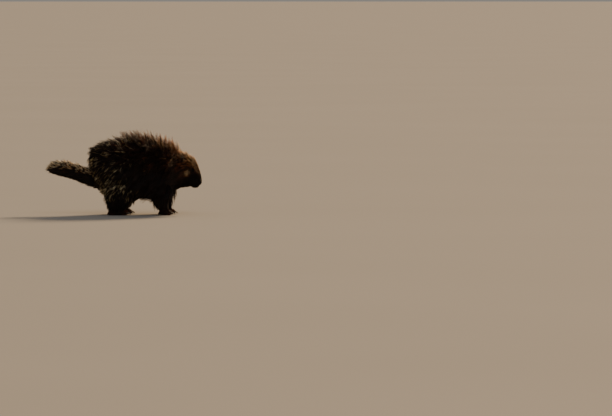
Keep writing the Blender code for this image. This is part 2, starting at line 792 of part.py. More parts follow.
class Foot:
    """The place of one foot: its heel, its way ahead and its toes, all level on the ground."""

    def __init__(self, name):
        pair, self.side, ahead, heel_x, toe_in = LEGS[name]
        _, self.profile_table, self.length, self.toes, apart, self.claw = PAIRS[pair]
        self.profile = Profile(self.profile_table)
        self.heel = Vector((heel_x + ahead, self.side * apart, 0))
        turn = math.radians(-self.side * toe_in)
        self.ahead = Vector((math.cos(turn), math.sin(turn), 0))
        self.across = Vector((-self.ahead.y, self.ahead.x, 0))

    def solid(self):
        rings = []
        for share, top, half_width in self.profile_table:
            centre = self.heel + self.ahead * self.length * share
            ring = []
            for i in range(10):
                a = 2 * math.pi * (i + 0.5) / 10
                rise = top * (0.42 + 0.58 * math.sin(a))
                ring.append(
                    centre
                    + self.across * half_width * math.cos(a) * (1.0 if math.sin(a) > -0.4 else 0.9)
                    + Vector((0, 0, max(0.0, rise)))
                )
            rings.append(ring)
        return loft("foot", rings)

    def toe_tip(self, index):
        """Where a toe ends on the ground plan, in an even fan across the foot."""
        t = (index + 0.5) / self.toes * 2 - 1
        reach = self.length * (1.0 - 0.10 * t * t)
        return self.heel + self.ahead * reach + self.across * t * 0.0185, t

    def toe(self, index):
        tip, t = self.toe_tip(index)
        ahead = (self.ahead + self.across * t * 0.25).normalized()
        across = Vector((-ahead.y, ahead.x, 0))
        rings = []
        for back, wide, top in ((0.014, 0.0050, 0.0145), (0.004, 0.0050, 0.0120), (0.0, 0.0030, 0.008)):
            ring = []
            for i in range(6):
                a = 2 * math.pi * i / 6 + math.pi / 6
                rise = max(TOE_LIFT, top * (0.45 + 0.55 * math.sin(a)))
                ring.append(tip - ahead * back + across * wide * math.cos(a) + Vector((0, 0, rise)))
            rings.append(ring)
        return loft("toe", rings)

    def claw_solid(self, index, grow=0.0):
        tip, t = self.toe_tip(index)
        ahead = (self.ahead + self.across * t * 0.20).normalized()
        places = ((-0.004, 0.0064), (0.004, 0.0082), (0.010, 0.0066), (self.claw, 0.0030))
        path = [tip + ahead * along + Vector((0, 0, rise)) for along, rise in places]
        path[0] -= ahead * grow
        widths = [CLAW_RADIUS * share + grow for share in (1.0, 0.9, 0.62)]
        return tapered("claw", path, widths, [w * 1.15 for w in widths], Vector((0, 0, 1)), 4)


def build_leg(name, trunk, parts, seed):
    foot = Foot(name)
    form = leg_form(name)
    core = leg_core(name)
    source = random.Random(seed)
    locks = []
    for row, z in enumerate((0.085, 0.064, 0.045)):
        for i in range(4):
            angle = 2 * math.pi * (i + 0.25 + 0.5 * (row % 2)) / 4
            skin = form.point(z, angle, CORE_SHARE)
            out = Vector((math.cos(angle), math.sin(angle), 0))
            root = skin - out * 0.004
            first = (out * 0.38 + Vector((-0.12, source.uniform(-0.1, 0.1), -1))).normalized()
            last = (out * 0.16 + Vector((-0.05, 0, -1))).normalized()
            locks.append(lock(f"l{len(locks)}", root, out, first, last, 0.033, 0.0125, 0.0044))
    dress(core, locks, [], [foot.solid()] + [foot.toe(i) for i in range(foot.toes)])
    cutters = [
        torso_core(trunk, grow=NODE_GAP, name="clear"),
        neck_core(trunk, grow=NODE_GAP, name="clear"),
    ]
    cutters += [foot.claw_solid(i, NODE_GAP) for i in range(foot.toes)]
    boolean(core, cutters, "DIFFERENCE")
    finish_node(core, "leg_" + name, "leg", parts)
    for i in range(foot.toes):
        finish_node(foot.claw_solid(i), f"claw_{name}_{i + 1}", "claw", parts)


def main():
    clear_scene()
    parts = new_collection("porcupine")
    trunk = LongForm(TRUNK, 0.03, 0.06)
    tail = LongForm(TAIL, 0.03, 0)
    guards = leg_guards()
    guards.append(Bar((-0.09, 0, 0.146), (-0.2, 0, 0.172), 0.056, 0.050))
    build_torso(trunk, tail, guards, parts, 11)
    build_neck(trunk, guards, parts, 22)
    build_head(trunk, parts, 31)
    build_tail(trunk, tail, parts, 41)
    for index, name in enumerate(LEGS):
        build_leg(name, trunk, parts, 51 + index)
    for side in (-1, 1):
        build_ear(trunk, side, parts)
        build_eye(trunk, side, parts)


main()
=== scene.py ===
# %% [markdown]
# # A walking porcupine
#
# The frame holds the animal as faceted solids: body, head, tail, legs, ears, eyes and claws. This script
# dresses them. One smooth skin takes the place of every solid of flesh, and a coat of almost a hundred
# thousand tapered hairs and quills grows from it, because a porcupine is known by its coat before all
# else. Everything is in metres. The animal faces +X, its left side is +Y, and it stands on z = 0.

import json
import math

import bmesh
import bpy
import numpy as np
from mathutils import Matrix, Vector
from mathutils.kdtree import KDTree

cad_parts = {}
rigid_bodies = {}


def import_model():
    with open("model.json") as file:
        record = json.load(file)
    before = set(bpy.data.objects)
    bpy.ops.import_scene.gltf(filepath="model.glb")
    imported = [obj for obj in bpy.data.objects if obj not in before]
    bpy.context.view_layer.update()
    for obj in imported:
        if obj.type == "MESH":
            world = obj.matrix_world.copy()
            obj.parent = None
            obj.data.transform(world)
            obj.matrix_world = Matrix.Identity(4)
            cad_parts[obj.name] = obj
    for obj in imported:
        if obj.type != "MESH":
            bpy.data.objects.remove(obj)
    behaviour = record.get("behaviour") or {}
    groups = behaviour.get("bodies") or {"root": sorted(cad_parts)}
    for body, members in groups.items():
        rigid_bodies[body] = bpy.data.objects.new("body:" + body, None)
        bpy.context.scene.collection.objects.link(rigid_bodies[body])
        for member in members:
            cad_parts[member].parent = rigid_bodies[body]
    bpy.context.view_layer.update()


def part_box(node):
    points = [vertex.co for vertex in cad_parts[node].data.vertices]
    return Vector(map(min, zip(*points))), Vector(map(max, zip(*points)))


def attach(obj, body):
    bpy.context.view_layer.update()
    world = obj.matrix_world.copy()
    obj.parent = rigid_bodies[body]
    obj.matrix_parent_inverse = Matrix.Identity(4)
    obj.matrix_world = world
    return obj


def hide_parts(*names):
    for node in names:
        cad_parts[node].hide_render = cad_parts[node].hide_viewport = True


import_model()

# %% [markdown]
# ## Helpers for objects
#
# Data shows only once an object holds it and is linked to the scene, and most shapes here start as a
# bmesh, Blender's editable mesh. These steps come back for every piece, so they are written once.

# %% Helpers for objects
SIDES = {-1: "right", 1: "left"}  # the sign of y on each side of the animal


def new_object(name, data):
    """An object that holds the data, linked to the scene."""
    made = bpy.data.objects.new(name, data)
    bpy.context.scene.collection.objects.link(made)
    return made


def mesh_data(mesh, name):
    """Turns a finished bmesh into mesh data."""
    data = bpy.data.meshes.new(name)
    mesh.to_mesh(data)
    mesh.free()
    return data


def add_piece(name, data, material, slot, *replaced):
    """A piece that rides on the body, with its finish, in place of the solids that it replaces."""
    data.materials.append(material)
    piece = new_object(name, data)
    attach(piece, "root")
    if replaced:
        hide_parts(*replaced)
    return piece


# %% [markdown]
# ## The camera
#
# The animal walks past at a distance, low in the left half of the picture, and is seen through a long
# lens from just above the ground. A long lens far away keeps the sides parallel. The size of a pixel on
# the animal and the point that the picture's centre looks at are all that is needed to place it.

# %% Place the camera
METRES_PER_PIXEL = 0.0042
PICTURE_WIDTH = 612
VIEW_CENTRE = Vector((0.763, 0.0, 0.028))
VIEW_DISTANCE = 20.0
VIEW_ELEVATION = math.radians(2.5)
SENSOR_MM = 36.0

camera_data = bpy.data.cameras.new("camera")
camera_data.sensor_width = SENSOR_MM
camera_data.lens = SENSOR_MM * VIEW_DISTANCE / (PICTURE_WIDTH * METRES_PER_PIXEL)
camera_data.clip_end = 10000.0
camera = new_object("camera", camera_data)
toward_camera = Vector((0, -math.cos(VIEW_ELEVATION), math.sin(VIEW_ELEVATION)))
camera.location = VIEW_CENTRE + toward_camera * VIEW_DISTANCE
camera.rotation_euler = toward_camera.to_track_quat("Z", "Y").to_euler()
bpy.context.scene.camera = camera
print(f"lens {camera_data.lens:.0f} mm at {VIEW_DISTANCE:.0f} m")

# %% [markdown]
# ## Helpers for numbers
#
# Hair by the ten thousand is too much for Python loops, so every form and every hair is worked out with
# numpy arrays, in which one line handles all points at once.

# %% Small numeric helpers
def unit(vectors):
    return vectors / np.maximum(np.linalg.norm(vectors, axis=-1, keepdims=True), 1e-9)


def dot(a, b):
    return np.sum(a * b, axis=-1, keepdims=True)


def ease(low, high, value):
    """0 below low, 1 above high, and a smooth way between."""
    t = np.clip((value - low) / (high - low), 0.0, 1.0)
    return t * t * (3 - 2 * t)


def ripple(points, size, seed):
    """A smooth random value for each point, about -1 to 1, that changes over roughly the given size."""
    source = np.random.default_rng(seed)
    total = np.zeros(len(points))
    for _ in range(6):
        way = source.normal(size=3)
        way *= 2 * math.pi / size * source.uniform(0.5, 1.1) / np.linalg.norm(way)
        total += np.sin(points @ way + source.uniform(0, 2 * math.pi))
    return total / 2.6


def gap_to(points, places):
    """How far each point is from the nearest of the places."""
    return np.min([np.linalg.norm(points - place, axis=1) for place in places], axis=0)


# %% [markdown]
# ## The forms of the body
#
# The trunk, with the neck and head, and the tail are each a row of upright ellipses along X. The legs are
# rows of level ellipses along Z. The tables give the body under the coat and how deep the coat stands on
# it. The solids were made from the same reading of the animal.

# %% Tables of the body's sections
# Trunk: x, height of the back, height of the belly, half width, coat on the back, coat under the belly
TRUNK = (
    (-0.1200, 0.2200, 0.1850, 0.012, 0.050, 0.026),
    (-0.1130, 0.2430, 0.1530, 0.042, 0.055, 0.026),
    (-0.0900, 0.2600, 0.1180, 0.072, 0.058, 0.026),
    (-0.0450, 0.2730, 0.0960, 0.092, 0.060, 0.024),
    (0.0100, 0.2830, 0.0860, 0.100, 0.063, 0.020),
    (0.0700, 0.2840, 0.0840, 0.099, 0.067, 0.018),
    (0.1250, 0.2720, 0.0890, 0.088, 0.065, 0.020),
    (0.1700, 0.2560, 0.0990, 0.073, 0.063, 0.026),
    (0.2050, 0.2430, 0.1120, 0.060, 0.060, 0.028),
    (0.2350, 0.2340, 0.1205, 0.052, 0.048, 0.013),
    (0.2580, 0.2290, 0.1225, 0.0480, 0.041, 0.008),
    (0.2800, 0.2185, 0.1225, 0.0405, 0.034, 0.005),
    (0.2980, 0.2035, 0.1225, 0.0305, 0.026, 0.003),
    (0.3120, 0.1850, 0.1245, 0.0225, 0.011, 0.001),
    (0.3205, 0.1660, 0.1290, 0.0160, 0.003, 0.001),
    (0.3250, 0.1480, 0.1370, 0.0060, 0.001, 0.001),
)
# Tail: the same six sizes, from its tip to its root
TAIL = (
    (-0.3130, 0.1930, 0.1850, 0.0060, 0.012, 0.006),
    (-0.3060, 0.1990, 0.1790, 0.0130, 0.020, 0.005),
    (-0.2850, 0.2030, 0.1720, 0.0200, 0.024, 0.005),
    (-0.2460, 0.2030, 0.1620, 0.0270, 0.027, 0.006),
    (-0.2000, 0.1940, 0.1480, 0.0310, 0.024, 0.007),
    (-0.1500, 0.1830, 0.1290, 0.0340, 0.020, 0.008),
    (-0.0850, 0.1780, 0.1060, 0.0360, 0.018, 0.008),
)
# Legs: z, front edge x, back edge x, distance from the middle plane, half width, coat in front, coat behind
ANKLE_Z = 0.020
FRONT_LEG = (
    (0.1700, 0.1900, 0.1380, 0.0380, 0.0240, 0.012, 0.012),
    (0.1400, 0.1930, 0.1300, 0.0500, 0.0270, 0.012, 0.012),
    (0.1100, 0.1900, 0.1270, 0.0580, 0.0270, 0.012, 0.013),
    (0.0850, 0.1830, 0.1280, 0.0600, 0.0250, 0.013, 0.014),
    (0.0600, 0.1780, 0.1330, 0.0600, 0.0215, 0.014, 0.014),
    (0.0400, 0.1780, 0.1420, 0.0590, 0.0185, 0.010, 0.010),
    (0.0280, 0.1800, 0.1490, 0.0580, 0.0170, 0.003, 0.004),
    (ANKLE_Z, 0.1800, 0.1510, 0.0575, 0.0150, 0.001, 0.001),
)
HIND_LEG = (
    (0.1700, 0.0300, -0.0700, 0.0480, 0.0340, 0.012, 0.012),
    (0.1400, 0.0350, -0.0710, 0.0600, 0.0370, 0.014, 0.012),
    (0.1100, 0.0350, -0.0700, 0.0670, 0.0360, 0.014, 0.013),
    (0.0850, 0.0280, -0.0680, 0.0690, 0.0330, 0.015, 0.013),
    (0.0620, 0.0170, -0.0650, 0.0680, 0.0280, 0.015, 0.012),
    (0.0420, 0.0010, -0.0620, 0.0660, 0.0230, 0.012, 0.009),
    (0.0280, -0.0100, -0.0610, 0.0640, 0.0185, 0.004, 0.004),
    (ANKLE_Z, -0.0140, -0.0600, 0.0635, 0.0150, 0.001, 0.001),
)
# Feet: share of the way from the heel to the toes, height of the top, half width
HIND_FOOT = (
    (0.00, 0.012, 0.0080),
    (0.08, 0.026, 0.0150),
    (0.35, 0.036, 0.0175),
    (0.60, 0.030, 0.0190),
    (0.84, 0.021, 0.0205),
    (0.94, 0.017, 0.0190),
)
FRONT_FOOT = (
    (0.00, 0.013, 0.0080),
    (0.12, 0.030, 0.0145),
    (0.45, 0.036, 0.0175),
    (0.68, 0.026, 0.0185),
    (0.84, 0.020, 0.0190),
    (0.93, 0.016, 0.0175),
)
# Each leg: its pair, side, how far it stands ahead of the table's leg, x of the heel, toe-in in degrees
LEGS = {
    "front_right": ("front", -1, 0.000, 0.1480, 5),
    "front_left": ("front", 1, 0.012, 0.1480, 5),
    "hind_right": ("hind", -1, 0.000, -0.0650, 3),
    "hind_left": ("hind", 1, 0.014, -0.0650, 3),
}
# Each pair: leg, foot, foot length, toes, distance from the middle plane, reach of a claw past its toe
PAIRS = {
    "front": (FRONT_LEG, FRONT_FOOT, 0.050, 4, 0.0575, 0.0150),
    "hind": (HIND_LEG, HIND_FOOT, 0.080, 5, 0.0640, 0.0145),
}
# How far the skin comes out into the coat's depth, which is inside the solids' cores
BODY_SHARE, HEAD_SHARE, TAIL_SHARE, LEG_SHARE = 0.22, 0.42, 0.30, 0.42
NECK_X = (0.222, 0.262)  # where the body's share turns into the head's
STEP_X, STEP_ANGLE = 0.0008, 0.01  # how far apart the points are that give a form's slope


# %% Forms that can be asked for any point
class Profile:
    """Smooth curves through a table. at(s) gives every column at the places s of its first one."""

    def __init__(self, table):
        rows = np.array(sorted(table))
        self.s = rows[:, 0]
        self.v = rows[:, 1:]
        self.slope = np.gradient(self.v, self.s, axis=0)

    def at(self, s):
        s = np.clip(np.atleast_1d(np.asarray(s, float)), self.s[0], self.s[-1])
        i = np.clip(np.searchsorted(self.s, s, side="right") - 1, 0, len(self.s) - 2)
        step = (self.s[i + 1] - self.s[i])[:, None]
        t = (s - self.s[i])[:, None] / step
        a = (1 + 2 * t) * (1 - t) ** 2
        b = t * (1 - t) ** 2 * step
        c = t * t * (3 - 2 * t)
        d = t * t * (t - 1) * step
        return (a * self.v[i] + b * self.slope[i] + c * self.v[i + 1] + d * self.slope[i + 1]).T


class LongForm:
    """A form with upright sections along X. Angle 0 is a section's top and 90 degrees its left side."""

    def __init__(self, table, rear_end, front_end, share, front_share):
        self.profile = Profile(table)
        self.low, self.high = self.profile.s[0], self.profile.s[-1]
        self.rear_end, self.front_end = rear_end, front_end
        self.share, self.front_share = share, front_share

    def coat(self, x, angle):
        _, _, _, on_top, below = self.profile.at(x)
        return below + (on_top - below) * (0.5 + 0.5 * np.cos(angle)) ** 0.8

    def cover(self, x, angle):
        """How far the skin lies outside the bare form. The rest of the coat's depth is hair."""
        share = self.share + (self.front_share - self.share) * ease(*NECK_X, x)
        return self.coat(x, angle) * share

    def bare(self, x, angle):
        top, bottom, half_width, _, _ = self.profile.at(x)
        across = half_width * np.sin(angle)
        return np.stack([x, across, (top + bottom) / 2 + (top - bottom) / 2 * np.cos(angle)], -1)

    def point(self, x, angle):
        x = np.broadcast_to(np.asarray(x, float), np.shape(angle))
        before, after = np.maximum(x - STEP_X, self.low), np.minimum(x + STEP_X, self.high)
        along = self.bare(after, angle) - self.bare(before, angle)
        around = self.bare(x, angle + STEP_ANGLE) - self.bare(x, angle - STEP_ANGLE)
        out = unit(np.cross(along, around))
        out *= np.sign(dot(out, self.bare(x, angle) - self.bare(x, angle + math.pi)))
        inward = (x - self.low) / self.rear_end
        if self.front_end:
            inward = np.minimum(inward, (self.high - x) / self.front_end)
        out[:, 0] *= 1 - np.clip(inward, 0, 1)  # only near an end does the cover lean along X
        return self.bare(x, angle) + unit(out) * self.cover(x, angle)[:, None]

    def measure(self, points):
        """Roughly how far points are outside this skin, the angle round it, and the hair's height."""
        x = np.clip(points[:, 0], self.low, self.high)
        top, bottom, half_width, _, _ = self.profile.at(x)
        middle, tall = (top + bottom) / 2, (top - bottom) / 2
        angle = np.arctan2(points[:, 1] / half_width, (points[:, 2] - middle) / tall)
        out = self.cover(x, angle)
        ratio = np.hypot(points[:, 1] / (half_width + out), (points[:, 2] - middle) / (tall + out))
        away = np.maximum((ratio - 1) * (np.minimum(half_width, tall) + out), 0)
        past = np.maximum(np.abs(points[:, 0] - x) - out, 0)
        return away + past, angle, self.coat(x, angle) - out


class LegForm:
    """A leg with level sections along Z. Angle 0 is its front and 90 degrees its left side."""

    def __init__(self, name):
        pair, self.side, self.ahead, _, _ = LEGS[name]
        self.profile = Profile(PAIRS[pair][0])
        self.low, self.high = self.profile.s[0], self.profile.s[-1]

    def coat(self, z, angle):
        *_, in_front, behind = self.profile.at(z)
        return behind + (in_front - behind) * (0.5 + 0.5 * np.cos(angle))

    def point(self, z, angle):
        front, back, apart, half_width, _, _ = self.profile.at(z)
        out = self.coat(z, angle) * LEG_SHARE
        along = (front + back) / 2 + self.ahead + ((front - back) / 2 + out) * np.cos(angle)
        across = self.side * apart + (half_width + out) * np.sin(angle)
        return np.stack([along, across, np.broadcast_to(z, along.shape)], -1)

    def measure(self, points):
        z = np.clip(points[:, 2], self.low, self.high)
        front, back, apart, half_width, _, _ = self.profile.at(z)
        along = points[:, 0] - (front + back) / 2 - self.ahead
        across = points[:, 1] - self.side * apart
        deep = (front - back) / 2
        angle = np.arctan2(across / half_width, along / deep)
        out = self.coat(z, angle) * LEG_SHARE
        ratio = np.hypot(along / (deep + out), across / (half_width + out))
        away = np.maximum((ratio - 1) * (np.minimum(half_width, deep) + out), 0)
        return away + np.abs(points[:, 2] - z), angle, self.coat(z, angle) - out


trunk = LongForm(TRUNK, 0.03, 0.06, BODY_SHARE, HEAD_SHARE)
tail = LongForm(TAIL, 0.03, 0, TAIL_SHARE, TAIL_SHARE)
legs = {name: LegForm(name) for name in LEGS}
print("forms:", 2 + len(legs), "with", len(TRUNK) + len(TAIL), "sections in the trunk and tail")


# %% Feet and their toes
TOES_HALF_WIDTH = 0.0185  # from the middle toe to where the outer ones end
FOOT_SIDES, TOE_SIDES = 20, 14  # points round a section


class Foot:
    """Where one foot stands: its heel, its way ahead and its toes, all level on the ground."""

    def __init__(self, name):
        pair, self.side, ahead, heel_x, toe_in = LEGS[name]
        _, self.table, self.length, self.toes, apart, self.claw_reach = PAIRS[pair]
        self.heel = Vector((heel_x + ahead, self.side * apart, 0))
        turn = math.radians(-self.side * toe_in)
        self.ahead = Vector((math.cos(turn), math.sin(turn), 0))
        self.across = Vector((-self.ahead.y, self.ahead.x, 0))

    def ring(self, centre, ahead, half_width, top, low, sides):
        """A section across the foot, flat under the sole. It is widest at low, a share of its height."""
        across = Vector((-ahead.y, ahead.x, 0))
        ring = []
        for i in range(sides):
            a = 2 * math.pi * (i + 0.5) / sides
            rise = top * (low + (1 - low) * math.sin(a))
            ring.append(centre + across * half_width * math.cos(a) + Vector((0, 0, max(0.0008, rise))))
        return ring

    def rings(self):
        way = self.ahead * self.length
        return [
            self.ring(self.heel + way * share, self.ahead, half_width, top, 0.42, FOOT_SIDES)
            for share, top, half_width in self.table
        ]

    def toe_tip(self, index):
        t = (index + 0.5) / self.toes * 2 - 1
        reach = self.length * (1.0 - 0.10 * t * t)
        return self.heel + self.ahead * reach + self.across * t * TOES_HALF_WIDTH, t

    def toe_rings(self, index):
        tip, t = self.toe_tip(index)
        ahead = (self.ahead + self.across * t * 0.25).normalized()
        places = (  # how far behind the tip, half width, height
            (0.022, 0.0046, 0.0180),
            (0.013, 0.0050, 0.0175),
            (0.006, 0.0054, 0.0165),
            (0.001, 0.0046, 0.0135),
        )
        return [
            self.ring(tip - ahead * back, ahead, half_width, top, 0.45, TOE_SIDES)
            for back, half_width, top in places
        ]


feet = {name: Foot(name) for name in LEGS}
print("toes:", sum(foot.toes for foot in feet.values()))

# %% [markdown]
# ## The skin
#
# Trunk, tail, legs, feet, toes and chin start as separate closed forms that overlap. A voxel remesh melts
# them into one surface, as a real skin has no seams, and a few rounds of smoothing round off the joins.
# The head is then cut into finer faces, because the nostrils, lips and lids are too small for the voxels.

# %% Build the forms and melt them together
VOXEL = 0.0029
AROUND = 64  # points round a section
CHIN_CENTRE, CHIN_HALF_SIZE = (0.2985, 0, 0.1238), (0.0160, 0.0150, 0.0100)


def loft(mesh, rings):
    """Adds a closed form through rings of points."""
    rows = [[mesh.verts.new(point) for point in ring] for ring in rings]
    for a, b in zip(rows, rows[1:]):
        for i in range(len(a)):
            mesh.faces.new((a[i], a[i - 1], b[i - 1], b[i]))
    mesh.faces.new(rows[0])
    mesh.faces.new(list(reversed(rows[-1])))


def rounded(low, high, count, at_high):
    """Places from low to high that close up towards the rounded end at low, and also at high if asked."""
    t = np.linspace(0, 1, count)
    if at_high:
        return low + (high - low) * (0.5 - 0.5 * np.cos(math.pi * t))
    return low + (high - low) * (1 - np.cos(math.pi / 2 * t))


def evaluated_mesh(target):
    depsgraph = bpy.context.evaluated_depsgraph_get()
    return bpy.data.meshes.new_from_object(target.evaluated_get(depsgraph))


def build_flesh():
    mesh = bmesh.new()
    around = np.linspace(0, 2 * math.pi, AROUND, endpoint=False)
    loft(mesh, [trunk.point(x, around) for x in rounded(trunk.low, trunk.high, 90, True)])
    loft(mesh, [tail.point(x, around) for x in rounded(tail.low, tail.high, 50, False)])
    for name, leg in legs.items():
        loft(mesh, [leg.point(z, around) for z in np.linspace(leg.low, leg.high, 30)])
        loft(mesh, feet[name].rings())
        for index in range(feet[name].toes):
            loft(mesh, feet[name].toe_rings(index))
    chin = Matrix.Translation(CHIN_CENTRE) @ Matrix.Diagonal((*CHIN_HALF_SIZE, 1))
    bmesh.ops.create_uvsphere(mesh, u_segments=32, v_segments=20, radius=1, matrix=chin)
    bmesh.ops.recalc_face_normals(mesh, faces=mesh.faces)
    return mesh_data(mesh, "flesh")


flesh = new_object("flesh", build_flesh())
remesh = flesh.modifiers.new("melt", "REMESH")
remesh.mode = "VOXEL"
remesh.voxel_size = VOXEL
smooth = flesh.modifiers.new("smooth", "SMOOTH")
smooth.factor = 0.5
smooth.iterations = 6
skin_mesh = evaluated_mesh(flesh)
bpy.data.objects.remove(flesh)
print("skin faces after the remesh:", len(skin_mesh.polygons))

# %% [markdown]
# ## The head
#
# On the face the short hair hides little, so its forms are worked into the skin itself: a socket and two
# lids round each eye, comma-shaped nostrils, the groove under the nose, the line of the mouth between two
# lips, and faint folds. Each is a push of the vertices near it, in or out along the skin's normal.

# %% Places on the face
EYE_RADIUS = 0.0052
MOUTH_LINE = ((0.2880, 0.1285), (0.3000, 0.1305), (0.3120, 0.1325), (0.3190, 0.1345), (0.3225, 0.1350))
NOSTRIL_X, NOSTRIL_Z = 0.3215, 0.1490


def node_centre(name):
    low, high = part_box(name)
    return np.array((low + high) / 2)


def on_muzzle(x, z, side):
    """The point of the head's skin at x and z on one side."""
    top, bottom, _, _, _ = (v[0] for v in trunk.profile.at(x))
    share = (z - (top + bottom) / 2) / ((top - bottom) / 2)
    angle = side * math.acos(min(1.0, max(-1.0, share)))
    return trunk.point(np.array([x]), np.array([angle]))[0]


eye_centres = {side: node_centre(f"eye_{word}") for side, word in SIDES.items()}
nostrils = {side: on_muzzle(NOSTRIL_X, NOSTRIL_Z, side) for side in SIDES}
mouth = np.array([on_muzzle(x, z, -1) for x, z in MOUTH_LINE])
mouth = np.concatenate([mouth, mouth[::-1] * (1, -1, 1)])
print("eyes at", {side: centre.round(4).tolist() for side, centre in eye_centres.items()})


# %% Cut the head into finer faces
def refine(data, inside):
    """Splits the faces whose middle is inside, a test of an array of points."""
    mesh = bmesh.new()
    mesh.from_mesh(data)
    centres = np.array([face.calc_center_median() for face in mesh.faces])
    chosen = inside(centres)
    edges = [edge for face, wanted in zip(mesh.faces, chosen) if wanted for edge in face.edges]
    bmesh.ops.subdivide_edges(mesh, edges=list(dict.fromkeys(edges)), cuts=1, use_grid_fill=True)
    mesh.to_mesh(data)
    mesh.free()


FINE_FROM_X, RELAXED_FROM_X = 0.262, 0.255
FINER_WITHIN, FINEST_WITHIN = 0.0115, 0.0085
finest = [*eye_centres.values(), *nostrils.values()]
refine(skin_mesh, lambda points: points[:, 0] > FINE_FROM_X)
refine(skin_mesh, lambda points: gap_to(points, [*finest, *mouth]) < FINER_WITHIN)
refine(skin_mesh, lambda points: gap_to(points, finest) < FINEST_WITHIN)
print("skin faces with the finer head:", len(skin_mesh.polygons))


# %% Read and write a mesh's points
def read_points(data, kind="co"):
    values = np.empty(len(data.vertices) * 3, np.float32)
    data.vertices.foreach_get(kind, values)
    return values.reshape(-1, 3).astype(float)


def write_points(data, points):
    data.vertices.foreach_set("co", points.astype(np.float32).ravel())
    data.update()


def relax(data, chosen, rounds):
    """Moves the chosen points half way to the middle of their neighbours, to lay cut faces smoothly."""
    edges = np.empty(len(data.edges) * 2, np.int32)
    data.edges.foreach_get("vertices", edges)
    a, b = edges.reshape(-1, 2).T
    points = read_points(data)
    count = np.bincount(np.concatenate([a, b]), minlength=len(points))[:, None]
    for _ in range(rounds):
        total = np.zeros_like(points)
        for axis in range(3):
            total[:, axis] = np.bincount(a, points[b, axis], len(points))
            total[:, axis] += np.bincount(b, points[a, axis], len(points))
        points[chosen] += (total / count - points)[chosen] * 0.5
    write_points(data, points)


relax(skin_mesh, read_points(skin_mesh)[:, 0] > RELAXED_FROM_X, rounds=4)


# %% Work the eyes, nose and mouth into the skin
LIDS_REACH = 0.014  # how far from an eye's axis its lids and their creases reach
SLIT_LONG, SLIT_TALL = 0.0044, 0.0034  # half the length and height of the opening between the lids
BALL_ROOM, LID_THICKNESS, LID_RIM = 0.0016, 0.0005, 0.0007
MOUTH_DEPTH, LIP_HEIGHT, LIP_MIDDLE = 0.0016, 0.0009, 0.0024
NOSTRIL_DEPTH, NOSTRIL_RIM, NOSE_GROOVE = 0.0038, 0.0008, 0.0007
FOLD_PITCH, FOLD_HEIGHT = 0.0042, 0.00016


def eye_frame(side):
    """The axis out of an eye, and the ways along and across its slit."""
    crown = trunk.bare(np.array([eye_centres[side][0] - 0.004]), np.array([0.0]))[0]
    out = unit(eye_centres[side] - crown * (1, 0, 1) + np.array((0.004, 0, 0.030)))
    along = unit(np.array((1.0, 0, -0.10)) - out * out[0])
    along = unit(along - out * (along @ out))
    return out, along, np.cross(out, along)


def push_lids(points, side):
    out, along, across = eye_frame(side)
    local = points - eye_centres[side]
    height = local @ out
    u, v = local @ along, local @ across
    around = np.hypot(u, v)
    slit = np.hypot(u / SLIT_LONG, v / SLIT_TALL)
    ball = np.sqrt(np.maximum(EYE_RADIUS**2 - around**2, 0))
    facing = (height > -0.006) & (around < LIDS_REACH)
    sunk = np.minimum(height, ball - BALL_ROOM)
    lid = ball + LID_THICKNESS + LID_RIM * np.exp(-(((slit - 1.35) / 0.25) ** 2))
    lid_share = 1 - ease(1.45, 2.3, slit)
    raised = height + (np.maximum(lid, height) - height) * lid_share
    inner = 1 - ease(0.92, 1.08, slit)
    target = raised + (sunk - raised) * inner
    crease = 0.0007 * np.exp(-(((slit - 2.35) / 0.22) ** 2)) + 0.0004 * np.exp(-(((slit - 3.0) / 0.2) ** 2))
    target -= crease * (slit > 1.6)
    return points + out * ((target - height) * facing)[:, None]


def along_line(points, line):
    """How far points are from a line of points, and how far above or below its nearest place."""
    best = np.full(len(points), 1e9)
    rise = np.zeros(len(points))
    for a, b in zip(line, line[1:]):
        t = np.clip(((points - a) @ (b - a)) / max((b - a) @ (b - a), 1e-12), 0, 1)
        nearest = a + (b - a) * t[:, None]
        gap = np.linalg.norm(points - nearest, axis=1)
        closer = gap < best
        best = np.where(closer, gap, best)
        rise = np.where(closer, points[:, 2] - nearest[:, 2], rise)
    return best, rise


def shape_head(data):
    points = read_points(data)
    normals = read_points(data, "normal")
    gap, rise = along_line(points, mouth)
    push = -MOUTH_DEPTH * np.exp(-((rise / 0.00075) ** 2)) * (1 - ease(0.0035, 0.0055, gap))
    lips = np.exp(-(((np.abs(rise) - LIP_MIDDLE) / 0.0013) ** 2))
    push += LIP_HEIGHT * lips * (1 - ease(0.004, 0.0065, gap))
    for side, spot in nostrils.items():
        local = points - spot
        v = local[:, 2] - 0.35 * np.abs(local[:, 0])
        w = local[:, 1] * side
        hole = np.hypot((w - 0.0006) / 0.0020, (v + 0.3 * w) / 0.0027)
        reach = 1 - ease(0.006, 0.009, np.linalg.norm(local, axis=1))
        push -= NOSTRIL_DEPTH * (1 - ease(0.45, 1.05, hole)) * reach
        push += NOSTRIL_RIM * np.exp(-(((hole - 1.6) / 0.4) ** 2)) * reach
    under_nose = (1 - ease(0.0006, 0.0016, np.abs(points[:, 1]))) * ease(0.319, 0.322, points[:, 0])
    push -= NOSE_GROOVE * under_nose * (points[:, 2] > 0.136) * (points[:, 2] < 0.151)
    face = ease(0.262, 0.285, points[:, 0])
    folds = np.sin(points[:, 0] * 2 * math.pi / FOLD_PITCH + 3 * ripple(points, 0.03, 5))
    push += FOLD_HEIGHT * face * folds * (0.5 + 0.5 * ripple(points, 0.02, 6))
    points += normals * push[:, None]
    for side in SIDES:
        points = push_lids(points, side)
    points[:, 2] = np.maximum(points[:, 2], 0.0)
    write_points(data, points)


shape_head(skin_mesh)
print("mouth line", round(float(np.linalg.norm(np.diff(mouth, axis=0), axis=1).sum()) * 1000), "mm")

